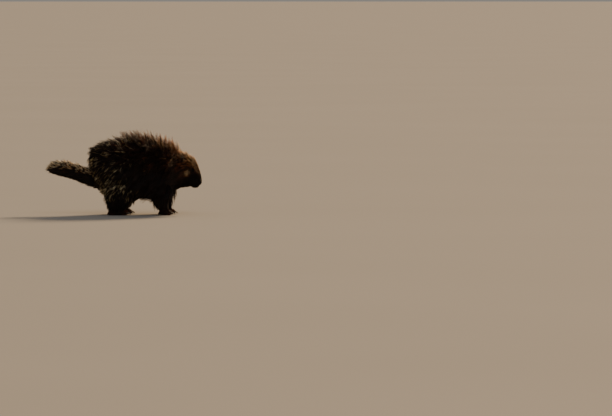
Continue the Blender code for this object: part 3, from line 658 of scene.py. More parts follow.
# %% [markdown]
# ## The ears
#
# A porcupine's ears are small round cups, half sunk in the hair of the head. Each is a shell with a
# rolled rim, drawn as rings that run out over its back, over the rim and down into the hollow. A Boolean
# union sets it in the skin, since a voxel remesh would eat its thin rim.

# %% Build the ear cups
EAR_RINGS = (  # how far out from the middle of the ear, and how far ahead, as shares of its half size
    (0.30, -0.90),
    (0.62, -0.78),
    (0.86, -0.48),
    (0.98, -0.10),
    (1.00, 0.18),
    (0.95, 0.34),
    (0.86, 0.30),
    (0.76, 0.08),
    (0.60, -0.22),
    (0.38, -0.40),
    (0.16, -0.46),
)
EAR_OUT, EAR_ACROSS, EAR_DEPTH = 0.0122, 0.0092, 0.0058  # the half sizes of the cup
EAR_SIDES = 40
ear_centres = {side: node_centre(f"ear_{word}") for side, word in SIDES.items()}


def ear_cup(side):
    out = Vector((-0.22, side * 0.66, 0.72)).normalized()
    ahead = Vector((1, side * 0.55, 0))
    ahead = (ahead - out * ahead.dot(out)).normalized()
    across = out.cross(ahead)
    mesh = bmesh.new()
    rings = []
    for reach, depth in EAR_RINGS:
        ring = []
        for a in np.linspace(0, 2 * math.pi, EAR_SIDES, endpoint=False):
            notch = 1 + 0.05 * math.cos(3 * a)
            ring.append(
                Vector(ear_centres[side])
                + out * EAR_OUT * reach * notch * math.cos(a)
                + across * EAR_ACROSS * reach * math.sin(a)
                + ahead * EAR_DEPTH * (depth + 0.30 * reach * math.cos(a) ** 2)
            )
        rings.append(ring)
    loft(mesh, rings)
    bmesh.ops.recalc_face_normals(mesh, faces=mesh.faces)
    return bpy.data.objects.new("ear_cup", mesh_data(mesh, "ear_cup"))


skin = new_object("skin", skin_mesh)
ear_cups = bpy.data.collections.new("ear_cups")
for side in SIDES:
    ear_cups.objects.link(ear_cup(side))
union = skin.modifiers.new("ears", "BOOLEAN")
union.operand_type = "COLLECTION"
union.collection = ear_cups
union.operation = "UNION"
union.solver = "EXACT"
skin.data = evaluated_mesh(skin)
skin.modifiers.clear()
for cup in list(ear_cups.objects):
    bpy.data.objects.remove(cup)
bpy.data.collections.remove(ear_cups)
skin.data.shade_smooth()
print("skin faces with ears:", len(skin.data.polygons))

# %% [markdown]
# ## Markings and painted rim light
#
# Hair and skin share one painting of the animal: gold on the crown, nape and shoulders, a pale patch on
# the cheek, cream quills on the rump, hips and the top of the tail, and near-black brown below. The gold
# is partly the hair's own tips and partly painted rim light, made stronger towards the top of the back,
# nape and crown, where a low sun behind would edge the coat. Each mark is a smooth function of the place
# on the body, so the skin under a thin spot never shows a wrong colour.

# %% Ask where each point is on the body
FORM_BLEND = 0.006  # the forms' coats run into one another over about this distance
HEAD_X = (0.236, 0.262)  # where the trunk turns into the head
FOOT_Z = (0.026, 0.044)  # where a foot turns into its leg
CHEEK_X, CHEEK_Z = 0.276, 0.181  # the middle of the pale patch behind and below each eye
CHEEK_LONG, CHEEK_TALL = 0.013, 0.017
CROWN_X, BROW_X = (0.226, 0.252), (0.313, 0.325)  # where the gold begins on the nape and ends on the brow
TAIL_TIP_END, TAIL_PALE_END = (-0.300, -0.280), (-0.285, -0.235)
NOSE_X, NOSE_Z = (0.3135, 0.3225), (0.156, 0.164)
LID_EDGE, SOLE_EDGE = (0.0060, 0.0075), (0.003, 0.008)


def survey(points):
    """For each point: how much it belongs to the trunk, head, tail, legs and feet, and its place there."""
    gap, angle, height = trunk.measure(points)
    tail_gap, tail_angle, tail_height = tail.measure(points)
    tail_gap = tail_gap + 0.004 + 0.2 * ease(-0.13, -0.10, points[:, 0])
    leg_gaps, leg_angles, leg_heights = zip(*[leg.measure(points) for leg in legs.values()])
    nearest = np.argmin(leg_gaps, axis=0)
    rows = np.arange(len(points))
    leg_gap = np.array(leg_gaps)[nearest, rows] + 0.05 * ease(0.080, 0.130, points[:, 2])
    leg_angle = np.array(leg_angles)[nearest, rows]
    leg_height = np.array(leg_heights)[nearest, rows]
    shares = np.exp(-np.array([gap, tail_gap, leg_gap]) / FORM_BLEND) + 1e-9
    shares /= shares.sum(axis=0)
    foot = shares[2] * (1 - ease(*FOOT_Z, points[:, 2]))
    head = shares[0] * ease(*HEAD_X, points[:, 0])
    return {
        "trunk": shares[0] - head,
        "head": head,
        "tail": shares[1],
        "leg": shares[2] - foot,
        "foot": foot,
        "angle": angle,
        "tail_angle": tail_angle,
        "leg_angle": leg_angle,
        "leg_index": nearest,
        "height": shares[0] * height + shares[1] * tail_height + shares[2] * leg_height,
    }


def markings_and_painted_rim(points, place):
    """How golden and how cream the coat is at each point. The gold on top is partly painted rim light."""
    x, _, z = points.T
    on_top = np.clip(np.cos(place["angle"]), 0, 1)
    # Painted rim light: the gold on the back and crown grows towards the top, partly the hair's own tips
    # and partly a low sun behind.
    back = 0.34 * ease(-0.09, 0.05, x) * on_top**1.3 + 0.14 * ease(0.08, 0.22, x) * on_top**3
    crown = ease(*CROWN_X, x) * on_top**1.3 * (1 - ease(*BROW_X, x))
    gold = (place["trunk"] + place["head"]) * (0.03 + 0.97 * crown) + place["trunk"] * back * (1 - crown)
    tail_top = np.clip(np.cos(place["tail_angle"]), 0, 1)
    tail_end = 1 - ease(*TAIL_TIP_END, x)
    gold += place["tail"] * (0.22 + 0.70 * tail_end) * tail_top + place["leg"] * 0.06 + place["foot"] * 0.45
    gold *= 1 + 0.3 * ripple(points, 0.045, 11)
    cheek = np.exp(-(((x - CHEEK_X) / CHEEK_LONG) ** 2) - ((z - CHEEK_Z) / CHEEK_TALL) ** 2)
    gold = np.maximum(gold, place["head"] * cheek)
    rump = 1 - ease(0.0, 0.055, x)
    clusters = 0.30 + 0.70 * ease(-0.20, 0.60, ripple(points, 0.030, 12))
    cream = place["trunk"] * (rump * (1 - 0.75 * on_top) + 0.06 * (1 - ease(0.08, 0.18, x))) * clusters
    cream += place["tail"] * (0.05 + 0.95 * tail_top) * (1 - 0.60 * ease(*TAIL_PALE_END, x))
    cream += place["leg"] * 0.45 * rump * ease(0.05, 0.11, z) * clusters
    return np.clip(gold, 0, 1), np.clip(cream, 0, 1)


def set_values(data, name, values):
    attribute = data.attributes.new(name, "FLOAT", "POINT")
    attribute.data.foreach_set("value", np.asarray(values, np.float32))


skin_points = read_points(skin.data)
skin_place = survey(skin_points)
skin_gold, skin_cream = markings_and_painted_rim(skin_points, skin_place)
skin_bare = ease(*NOSE_X, skin_points[:, 0]) * (1 - ease(*NOSE_Z, skin_points[:, 2]))
skin_bare = np.maximum(skin_bare, 1 - ease(*LID_EDGE, gap_to(skin_points, eye_centres.values())))
skin_bare = np.maximum(skin_bare, 1 - ease(*SOLE_EDGE, skin_points[:, 2]))
set_values(skin.data, "gold", skin_gold)
set_values(skin.data, "cream", skin_cream)
set_values(skin.data, "bare", skin_bare)
print("gold", skin_gold.mean().round(3), "cream", skin_cream.mean().round(3))

# %% [markdown]
# ## Growing hair
#
# A hair here is a thin three-sided spike with a flat side to the body, a few rings long, that leaves the
# skin at an angle and bends back to lie along it. Roots are spread evenly: far too many random points are
# thrown on the skin, and one is kept in each small cube of space. Neighbours lean towards one hair that
# leads them, so the coat falls into tufts.

# %% Spread roots over the skin
def skin_triangles(data):
    data.calc_loop_triangles()
    corners = np.empty(len(data.loop_triangles) * 3, np.int32)
    data.loop_triangles.foreach_get("vertices", corners)
    return corners.reshape(-1, 3)


skin_normals = read_points(skin.data, "normal")
skin_corners = skin_triangles(skin.data)
first, second, third = skin_points[skin_corners].transpose(1, 0, 2)
skin_areas = np.linalg.norm(np.cross(second - first, third - first), axis=1) / 2
TRIES = 6  # random points for each hair that finds room


def spread_roots(spacing, wanted, seed, ahead_of=-1.0):
    """Points on the skin about spacing apart, kept where wanted(points, place) is above a random draw."""
    source = np.random.default_rng(seed)
    areas = skin_areas * (skin_points[skin_corners[:, 0], 0] > ahead_of)
    count = int(areas.sum() / spacing**2 * TRIES)
    chosen = source.choice(len(areas), count, p=areas / areas.sum())
    a, b = source.random((2, count, 1))
    fold = a + b > 1
    a, b = np.where(fold, 1 - a, a), np.where(fold, 1 - b, b)
    corners = skin_corners[chosen]
    points, normals = [
        values[corners[:, 0]] * (1 - a - b) + values[corners[:, 1]] * a + values[corners[:, 2]] * b
        for values in (skin_points, skin_normals)
    ]
    cubes = np.floor(points / spacing + source.random(3)).astype(np.int64)
    _, first = np.unique(cubes, axis=0, return_index=True)
    points, normals = points[first], unit(normals[first])
    place = survey(points)
    kept = source.random(len(points)) < wanted(points, place)
    return points[kept], normals[kept], {key: value[kept] for key, value in place.items()}


print("skin area", round(float(skin_areas.sum()), 3), "square metres")


# %% The lie of the coat
STEEPEST = math.radians(82)
# The half sizes of the short-haired places round each ear and eye, which reach further ahead than behind
EAR_CLEARING, EYE_CLEARING = np.array((0.015, 0.014, 0.015)), np.array((0.015, 0.011, 0.010))


def cleared(points, centres, size):
    """1 at and just ahead of the centres, falling quickly to 0 around."""
    middles = [centre + (0.35 * size[0], 0, 0) for centre in centres.values()]
    ratio = [np.linalg.norm((points - middle) / size, axis=1) for middle in middles]
    return np.exp(-(np.min(ratio, axis=0) ** 4))


def near_ear(points):
    return cleared(points, ear_centres, EAR_CLEARING)


def near_eye(points):
    return cleared(points, eye_centres, EYE_CLEARING)


def round_eye(points):
    """1 on the lids, and 0 from 16 mm off an eye. Roots are set deeper here, so that no blunt end shows."""
    return 1 - ease(0.010, 0.016, gap_to(points, eye_centres.values()))


def lie(points, normals, place):
    """The way hair leaves the skin, its lift in radians, and the share of that lift that its tip keeps."""
    x = points[:, 0]
    side = np.clip(points[:, 1] / 0.02, -1, 1)
    up = np.clip(np.cos(place["angle"]), 0, 1)
    under = np.clip(-np.cos(place["angle"]), 0, 1)
    flank = np.sqrt(1 - up**1.2)
    rump = 1 - ease(-0.125, -0.06, x)
    front = ease(-0.06, 0.06, x)
    tail_up = np.clip(np.cos(place["tail_angle"]), 0, 1)
    zero = np.zeros(len(points))
    down = -0.80 * flank * (1 - 0.75 * under) - 0.35 * rump
    ways = {
        "trunk": np.stack([-1 + 0.35 * flank, side * 0.15 * (1 - flank), down], -1),
        "head": np.stack([-1 + zero, side * 0.15, -0.30 * flank], -1),
        "tail": np.stack([-1 + zero, side * 0.10, 0.10 * tail_up], -1),
        "leg": np.stack([-0.25 + zero, zero, -1 + zero], -1),
        "foot": np.stack([0.75 + zero, zero, -0.65 + zero], -1),
    }
    wish = unit(sum(ways[name] * place[name][:, None] for name in ways))
    facing = np.clip(dot(wish, normals), 0, 1)
    way = unit(wish - normals * dot(wish, normals))
    muzzle = ease(0.295, 0.315, x)
    nape = ease(0.11, 0.20, x)
    degrees = place["trunk"] * (23 + up**1.2 * (14 + 26 * front + 10 * nape) + 8 * under)
    degrees += place["head"] * (19 + 26 * up * (1 - muzzle) - 4 * muzzle)
    degrees += place["tail"] * (13 + 34 * tail_up) + place["leg"] * 19 + place["foot"] * 12
    lift = np.maximum(np.radians(degrees), 0.8 * np.arcsin(facing[:, 0]))
    settle = 0.5 + 0.32 * up * place["trunk"] + 0.2 * tail_up * place["tail"] + 0.2 * up * place["head"]
    return way, lift, settle


def coat_height(points, normals, place):
    """How far hair tips stand off the skin. It is least round the eyes and on the muzzle and the feet."""
    muzzle = ease(0.290, 0.318, points[:, 0]) * place["head"]
    behind = ease(0.2, 0.9, -normals[:, 0]) * place["trunk"]
    tail_tip = (1 - ease(-0.330, -0.280, points[:, 0])) * place["tail"]
    height = place["height"] * (1 - 0.55 * muzzle) * (1 - 0.35 * behind) * (1 - 0.55 * tail_tip)
    height *= (1 - 0.55 * near_ear(points)) * (1 - 0.86 * near_eye(points))
    return np.maximum(height, 0.0014 + 0.0012 * place["foot"])


# %% Turn roots into a mesh of hairs
def unwrap(points, place):
    """A flat map of the skin: trunk and head rolled out, then the tail, then each leg in its own strip."""
    x, _, z = points.T
    angles = [place[key] for key in ("angle", "tail_angle", "leg_angle")]
    turn, tail_turn, leg_turn = [angle / (2 * math.pi) + 0.5 for angle in angles]
    body = np.stack([0.02 + 0.60 * (x + 0.18) / 0.52, 0.02 + 0.62 * turn], -1)
    back = np.stack([0.66 + 0.32 * (x + 0.34) / 0.27, 0.02 + 0.62 * tail_turn], -1)
    limb = np.stack([0.02 + 0.245 * (place["leg_index"] + 0.95 * leg_turn), 0.68 + 0.30 * z / 0.18], -1)
    on_tail, on_leg = place["tail"] > 0.5, place["leg"] + place["foot"] > 0.5
    return np.where(on_leg[:, None], limb, np.where(on_tail[:, None], back, body))


def strand_paths(roots, normals, way, lift, settle, length, sway, rings):
    """The middle line of each hair. It leaves at lift, ends at lift times settle, and sways to the side."""
    first = way * np.cos(lift)[:, None] + normals * np.sin(lift)[:, None]
    low = lift * settle
    last = way * np.cos(low)[:, None] + normals * np.sin(low)[:, None] + sway
    last[:, 2] -= 0.12 * np.clip(length / 0.04, 0, 1)
    path = [roots]
    for i in range(rings):
        t = (i + 0.5) / rings
        path.append(path[-1] + unit(first * (1 - t) + last * t) * (length / rings)[:, None])
    return np.stack(path, 1)


def tuft_leaders(roots, spacing, seed):
    """For each root, the number of the root that leads its tuft. Tufts are about spacing apart."""
    source = np.random.default_rng(seed)
    cubes = np.floor(roots / spacing + source.random(3)).astype(np.int64)
    _, leaders = np.unique(cubes, axis=0, return_index=True)
    tree = KDTree(len(leaders))
    for i, leader in enumerate(leaders):
        tree.insert(roots[leader], i)
    tree.balance()
    return leaders[[tree.find(root)[1] for root in roots]]


def gather(paths, leaders, strength, spacing, source):
    """Pulls hairs towards the leader of their tuft, more towards their tips, and short hairs less."""
    t = np.linspace(0, 1, paths.shape[1])[None, :, None] ** 1.3
    length = np.linalg.norm(paths[:, -1] - paths[:, 0], axis=1)
    pull = strength * source.uniform(0.7, 1.0, len(paths)) * ease(0.3, 2.4, length / spacing)
    return paths + (paths[leaders] - paths) * t * pull[:, None, None]


def strand_faces(rings):
    """The faces of one hair: its root, the sides between its rings, and its point."""
    faces = [(2, 1, 0)]
    for ring in range(rings - 1):
        for k in range(3):
            a, b = ring * 3 + k, ring * 3 + (k + 1) % 3
            faces.append((a, b, b + 3, a + 3))
    last = (rings - 1) * 3
    faces += [(last + k, last + (k + 1) % 3, rings * 3) for k in range(3)]
    return faces


LOWEST = 0.0006  # no hair goes nearer to the floor than this
HAIR_ON_MAP = 0.003  # the width and height of one hair on the flat map


def hair_mesh(name, paths, normals, widths, profile, flat, values, flat_map):
    """One mesh of hairs along paths. profile gives each ring's share of the width, flat its thickness."""
    count, stations = paths.shape[:2]
    rings = stations - 1
    ahead = unit(np.gradient(paths, axis=1))
    across = unit(np.cross(ahead, normals[:, None, :]))
    up = np.cross(across, ahead)
    angles = np.radians((90, 210, 330))
    size = widths[:, None] * np.asarray(profile)[None, :] / 2
    around = across[:, :-1, None] * np.cos(angles)[None, None, :, None]
    around = around + up[:, :-1, None] * flat * np.sin(angles)[None, None, :, None]
    sides = paths[:, :-1, None] + around * size[:, :, None, None]
    points = np.concatenate([sides.reshape(count, rings * 3, 3), paths[:, -1:]], 1)
    per = rings * 3 + 1
    points = points.reshape(-1, 3)
    points[:, 2] = np.maximum(points[:, 2], LOWEST)
    faces = strand_faces(rings)
    sizes = np.array([len(face) for face in faces])
    loops = np.concatenate([np.array(face) for face in faces])
    all_loops = (loops[None] + np.arange(count)[:, None] * per).ravel()
    all_sizes = np.tile(sizes, count)
    data = bpy.data.meshes.new(name)
    data.vertices.add(len(points))
    data.vertices.foreach_set("co", points.astype(np.float32).ravel())
    data.loops.add(len(all_loops))
    data.loops.foreach_set("vertex_index", all_loops.astype(np.int32))
    data.polygons.add(len(all_sizes))
    starts = np.concatenate([[0], np.cumsum(all_sizes)[:-1]])
    data.polygons.foreach_set("loop_start", starts.astype(np.int32))
    data.update(calc_edges=True)
    data.shade_smooth()
    along = np.concatenate([np.repeat(np.arange(rings) / rings, 3), [1.0]])
    set_values(data, "along", np.tile(along, count))
    for key, value in values.items():
        set_values(data, key, np.repeat(value, per))
    corner = np.concatenate([np.tile((0.0, 0.5, 1.0), rings), [0.5]])
    patch = np.stack([np.tile(corner, count), np.tile(along, count)], -1) * HAIR_ON_MAP
    spots = np.repeat(flat_map, per, axis=0) + patch
    uv = data.uv_layers.new(name="OFBake")
    uv.data.foreach_set("uv", spots[all_loops].astype(np.float32).ravel())
    return data


# %% [markdown]
# ## The animal's outline
#
# Where tufts lie as they like, a few stick far out of the animal's shape. So each hair is shortened until
# its tip is inside an outline, give or take about a centimetre that differs from tuft to tuft. That keeps
# the back high over the shoulders and lets it step down to the head, and it leaves the edge ragged.

# %% How far hair may reach
TAIL_TIP_X = -0.331  # how far back the hair of the tail reaches
SIDE_Y = 0.164  # how far out hair reaches to either side
RUMP_HALF_WIDTH, RUMP_ROUNDING = 0.155, 0.12  # seen from above, the rump is round
# How far back the hair of the rump reaches: height, x. It curves in over the hips and under the tail.
REAR = Profile(
    (
        (0.060, -0.084),
        (0.100, -0.104),
        (0.140, -0.128),
        (0.200, -0.153),
        (0.245, -0.159),
        (0.275, -0.156),
        (0.300, -0.132),
        (0.330, -0.060),
    )
)
# How far up the hair of the back reaches: x, height
TOP = Profile(
    (
        (-0.160, 0.288),
        (-0.125, 0.301),
        (-0.078, 0.320),
        (-0.031, 0.341),
        (0.010, 0.357),
        (0.053, 0.367),
        (0.090, 0.362),
        (0.129, 0.350),
        (0.175, 0.334),
        (0.215, 0.322),
        (0.245, 0.310),
        (0.330, 0.300),
    )
)
SLACK, MORE_ON_TOP = 0.009, 1.3  # how far a tuft's outline may be off, and how much more on the back
# How far in front of an ear's or an eye's middle hair has to end, and the length it keeps in any case
EAR_STOP, EYE_STOP = (0.0145, 0.0075), (0.0080, 0.0030)


def inside_outline(tips, place, slack):
    """Whether hair tips stay within the animal's outline, give or take slack."""
    x, y, z = tips.T
    out_share = np.clip(np.abs(y) / RUMP_HALF_WIDTH, 0, 1)
    rear = REAR.at(z)[0] + RUMP_ROUNDING * (1 - np.sqrt(1 - out_share**2))
    rear = np.where(place["tail"] > 0.5, TAIL_TIP_X, rear)
    on_leg = place["leg"] + place["foot"] > 0.5
    return on_leg | ((x > rear - slack) & (np.abs(y) < SIDE_Y) & (z < TOP.at(x)[0] + MORE_ON_TOP * slack))


def stop_before(roots, lean, length, centre, radius, least):
    """Shortens the hairs that would cover a round place, such as an eye, to end in front of it."""
    toward = centre - roots
    along = np.sum(toward * lean, axis=1)
    miss = np.linalg.norm(toward - along[:, None] * lean, axis=1)
    room = along - np.sqrt(np.maximum(radius**2 - miss**2, 0))
    return np.where((along > 0) & (miss < radius), np.minimum(length, np.maximum(room, least)), length)


def hair_shape(roots, normals, place, look, source, leaders):
    """The middle lines of a layer's hairs. Hairs of one tuft share most of their habit."""
    count = len(roots)
    habit = source.random((count, 5))[leaders]
    way, lift, settle = lie(roots, normals, place)
    lift = lift * look["lift"] * (0.8 + 0.4 * habit[:, 0]) * source.uniform(0.9, 1.1, count)
    lift = np.minimum(lift, STEEPEST)
    height = coat_height(roots, normals, place) * look["reach"]
    on_nape = ease(0.13, 0.19, roots[:, 0]) * (1 - 0.7 * ease(0.205, 0.240, roots[:, 0]))
    height *= 1 + look["nape"] * place["trunk"] * on_nape
    middle = lift * (1 + settle) / 2
    length = np.clip(height / np.sin(middle), look["shortest"], look["longest"])
    length *= (0.74 + 0.60 * habit[:, 1] ** 2) * source.uniform(0.88, 1.06, count)
    lean = way * np.cos(middle)[:, None] + normals * np.sin(middle)[:, None]
    slack = SLACK * (2 * habit[:, 2] - 1)
    fitting = np.full(count, 0.3)
    for share in np.linspace(0.35, 1.0, 14):
        fits = inside_outline(roots + (share * length)[:, None] * lean, place, slack)
        fitting = np.where(fits, share, fitting)
    length *= fitting
    for side in SIDES:
        length = stop_before(roots, lean, length, ear_centres[side], *EAR_STOP)
        length = stop_before(roots, lean, length, eye_centres[side], *EYE_STOP)
    sway = source.normal(0, look["stray"], (count, 3)) + (habit[:, 2:] - 0.5) * look["toss"]
    depth = np.clip(0.02 * length, 0.0002, 0.0008) + 0.0004 * round_eye(roots)
    sunk = roots - normals * depth[:, None]
    paths = strand_paths(sunk, normals, way, lift, settle, length, sway, look["rings"])
    return gather(paths, leaders, look["gather"], look["tuft"], source)


# %% [markdown]
# ## One layer of the coat
#
# Every layer is grown by the same function, with its own spacing, places and look. A look says how many
# rings a hair has, how far it reaches into the coat's depth, its shortest and longest length, width,
# flatness and lift, how single hairs stray and tufts toss, how strongly they gather, how far apart tufts
# are, and how much is bleached, longer on the nape or finer on the face. A layer too big for one piece is
# cut into several.

# %% Grow a layer
MOST_TRIANGLES = 190000
TAPER = {2: (1.0, 0.62), 3: (0.9, 1.0, 0.55), 4: (0.8, 1.0, 0.85, 0.48)}
PLAIN_LOOK = {"flat": 0.55, "lift": 1.0, "bleach": 0, "nape": 0, "finer": 0}
pieces_made = []


def grow(name, material, slot, spacing, wanted, seed, ahead_of=-1.0, **look):
    """Grows one layer of hair, as one or more pieces."""
    look = {**PLAIN_LOOK, **look}
    roots, normals, place = spread_roots(spacing, wanted, seed, ahead_of)
    source = np.random.default_rng(seed + 1)
    count = len(roots)
    leaders = tuft_leaders(roots, look["tuft"], seed + 1)
    paths = hair_shape(roots, normals, place, look, source, leaders)
    gold, cream = markings_and_painted_rim(roots, place)
    shade = 0.55 * source.random(count) + 0.45 * source.random(count)[leaders]
    bleached = look["bleach"] * ease(0.06, 0.16, roots[:, 0]) * ease(0.50, 0.75, shade)
    gold = np.clip(gold + bleached, 0, 1)
    values = {"shade": shade, "gold": gold, "cream": cream}
    fine = place["head"] * ease(0.27, 0.31, roots[:, 0]) + place["foot"] + near_ear(roots) + near_eye(roots)
    fine = np.clip(fine, 0, 1)
    widths = look["width"] * source.uniform(0.75, 1.2, count) * (1 - look["finer"] * fine)
    spots = unwrap(roots, place)
    spots = (spots - spots.min(0)) / np.maximum(np.ptp(spots, axis=0), 1e-6) * 0.975 + 0.01
    triangles = 6 * look["rings"] - 2  # one at the root, six between two rings and three at the point
    parts = math.ceil(count * triangles / MOST_TRIANGLES)
    for part, rows in enumerate(np.array_split(np.argsort(roots[:, 0], kind="stable"), parts)):
        piece_name = name if parts == 1 else f"{name}_{part + 1}"
        chosen = {key: value[rows] for key, value in values.items()}
        shape = (look.get("profile", TAPER[look["rings"]]), look["flat"])
        data = hair_mesh(piece_name, paths[rows], normals[rows], widths[rows], *shape, chosen, spots[rows])
        add_piece(piece_name, data, material, slot)
        pieces_made.append((len(rows), len(rows) * triangles))
    lengths_mm = np.linalg.norm(np.diff(paths, axis=1), axis=2).sum(axis=1) * 1000
    usual = " to ".join(f"{length:.0f}" for length in np.percentile(lengths_mm, (5, 95)))
    print(f"{name}: {count} hairs, {count * triangles} triangles, mostly {usual} mm long")


# %% [markdown]
# ## Finishes
#
# Colours are written as sRGB hex codes and turned to linear light by one function. One more function adds
# a node with its settings and its links, and every material is built with it.

# %% Helpers for materials
def linear(code):
    """A hex colour, as linear red, green and blue with a full alpha."""
    values = [int(code[i : i + 2], 16) / 255 for i in (1, 3, 5)]
    return [v / 12.92 if v <= 0.04045 else ((v + 0.055) / 1.055) ** 2.4 for v in values] + [1.0]


def add(tree, kind, inputs=None, out=0, **settings):
    """Adds a node with its settings and links, and gives one of its outputs, or the node if it has none."""
    node = tree.nodes.new(kind)
    for name, value in settings.items():
        setattr(node, name, value)
    for key, value in (inputs or {}).items():
        if isinstance(value, bpy.types.NodeSocket):
            tree.links.new(value, node.inputs[key])
        else:
            node.inputs[key].default_value = value
    return node.outputs[out] if node.outputs else node


def new_material(name):
    made = bpy.data.materials.new(name)
    made.use_nodes = True
    made.node_tree.nodes.clear()
    return made, made.node_tree


def fill_ramp(ramp, stops):
    while len(ramp.elements) < len(stops):
        ramp.elements.new(0.5)
    for element, (at, code) in zip(ramp.elements, stops):
        element.position = at
        element.color = linear(code)


# %% [markdown]
# ### Guard hair and quills
#
# Hair and quills are keratin, like a fingernail: hard, slightly waxy, with an IOR near 1.55. They grew,
# so no tool has marked them. Their outside is a layer of flat scales, which gives the eye a soft streak
# of light along each hair. Guard hair is dark at the root. Its tip turns reddish brown on the back and,
# on the crown, gold. On top of the back and crown that colour is partly the hair's own and partly painted
# rim light of a low sun behind. A quill is cream from its middle up, with a dark root and a dark point.
# Each hair carries how far along it a point is, a random shade of its own and the markings at its root,
# and the materials read these.

# %% Hair and quill materials
KERATIN_IOR = 1.55
PLAIN_GLOW, MANE_GLOW = 0.06, 0.13  # the sheen of hair against the light


def hair_material(name, root, middle, tips, roughness, glow=PLAIN_GLOW):
    """Hair that changes from root to tip. tips are colours, from those of plain places to golden ones."""
    made, tree = new_material(name)
    along, shade, gold = [
        add(tree, "ShaderNodeAttribute", out="Fac", attribute_name=key)
        for key in ("along", "shade", "gold")
    ]
    half_way = add(tree, "ShaderNodeMath", {0: along, 1: 2.0}, operation="MULTIPLY", use_clamp=True)
    stem = {0: half_way, 6: linear(root), 7: linear(middle)}
    lower = add(tree, "ShaderNodeMix", stem, out=2, data_type="RGBA")
    spread = add(tree, "ShaderNodeMath", {0: shade, 1: 0.5, 2: -0.25}, operation="MULTIPLY_ADD")
    goldness = add(tree, "ShaderNodeMath", {0: gold, 1: spread}, operation="ADD")
    tip = add(tree, "ShaderNodeValToRGB", {"Fac": goldness})
    fill_ramp(tip.node.color_ramp, tips)
    toward_tip = {0: along, 1: 2.0, 2: -0.7}
    upper = add(tree, "ShaderNodeMath", toward_tip, operation="MULTIPLY_ADD", use_clamp=True)
    body = add(tree, "ShaderNodeMix", {0: upper, 6: lower, 7: tip}, out=2, data_type="RGBA")
    dimmed = add(tree, "ShaderNodeMath", {0: shade, 1: 0.8, 2: 0.55}, operation="MULTIPLY_ADD")
    finish = {
        "Base Color": add(tree, "ShaderNodeVectorMath", {0: body, 3: dimmed}, operation="SCALE"),
        "Roughness": roughness,
        "IOR": KERATIN_IOR,
        "Specular IOR Level": 0.24,
        "Sheen Weight": glow,
        "Sheen Roughness": 0.35,
        "Sheen Tint": linear("#ffcf96"),
    }
    add(tree, "ShaderNodeOutputMaterial", {"Surface": add(tree, "ShaderNodeBsdfPrincipled", finish)})
    return made


def quill_material(name, root, shaft, worn, point, point_from):
    """A pale quill with a dark root and point. Some quills, and those where few grow, look worn."""
    made, tree = new_material(name)
    along, shade, cream = [
        add(tree, "ShaderNodeAttribute", out="Fac", attribute_name=key)
        for key in ("along", "shade", "cream")
    ]
    bands = add(tree, "ShaderNodeValToRGB", {"Fac": along})
    stops = ((0.30, root), (0.52, shaft), (point_from, shaft), (point_from + 0.10, point))
    fill_ramp(bands.node.color_ramp, stops)
    age = add(tree, "ShaderNodeMath", {0: shade, 1: 1.3, 2: 0.12}, operation="MULTIPLY_ADD")
    stained = add(tree, "ShaderNodeMath", {0: age, 1: cream}, operation="SUBTRACT", use_clamp=True)
    stain = {0: stained, 6: bands, 7: linear(worn)}
    body = add(tree, "ShaderNodeMix", stain, out=2, data_type="RGBA", blend_type="MULTIPLY")
    dimmed = add(tree, "ShaderNodeMath", {0: shade, 1: 0.35, 2: 0.75}, operation="MULTIPLY_ADD")
    finish = {
        "Base Color": add(tree, "ShaderNodeVectorMath", {0: body, 3: dimmed}, operation="SCALE"),
        "Roughness": 0.42,
        "IOR": KERATIN_IOR,
        "Specular IOR Level": 0.45,
    }
    add(tree, "ShaderNodeOutputMaterial", {"Surface": add(tree, "ShaderNodeBsdfPrincipled", finish)})
    return made


# The bright ends of the DARK, MANE and FACE tip ramps are reached on top of the back, nape and crown, where
# the gold is partly painted rim light of a low sun behind.
DARK_TIPS = ((0.0, "#150d09"), (0.30, "#36170c"), (0.55, "#6c3018"), (0.80, "#b36c38"), (1.0, "#e0a86c"))
WOOL_TIPS = ((0.0, "#110b08"), (0.40, "#24150e"), (0.75, "#5f3f24"), (1.0, "#94683c"))
underfur = hair_material("underfur_wool", "#080504", "#0f0a07", WOOL_TIPS, 0.75)
guard_hair = hair_material("guard_hair_keratin", "#090605", "#140c08", DARK_TIPS, 0.46)
MANE_TIPS = ((0.0, "#150d09"), (0.25, "#2e120a"), (0.50, "#86441f"), (0.75, "#e8954c"), (1.0, "#ffcf8c"))
mane_hair = hair_material("mane_hair_keratin", "#090605", "#130b07", MANE_TIPS, 0.42, MANE_GLOW)
FACE_TIPS = ((0.0, "#150e0a"), (0.30, "#2c1a11"), (0.55, "#6a3e22"), (0.80, "#d3a26c"), (1.0, "#f4d6a6"))
face_hair = hair_material("face_hair_keratin", "#0b0706", "#110b08", FACE_TIPS, 0.60)
leg_hair = hair_material("leg_hair_keratin", "#080504", "#100a07", DARK_TIPS, 0.55)
quill_keratin = quill_material("quill_keratin", "#2a1c10", "#efddb0", "#bda76a", "#1c120b", 0.86)
tail_quill_keratin = quill_material("tail_quill_keratin", "#2a1a0e", "#f8e6bc", "#bd8a48", "#7c5226", 0.86)
print("hair finishes made")

# %% [markdown]
# ### Skin
#
# Under the coat is a hide: a dull, slightly oily living skin of IOR 1.4. It shows only round the eyes, on
# the lips, nose and soles and inside the ears. There its grain is pebbles about 0.7 mm across, which
# break the light up softly. Elsewhere it takes the colour of the hair's roots, so that no gap shines
# through.

# %% Skin material
PEBBLES_PER_METRE = 1 / 0.0007


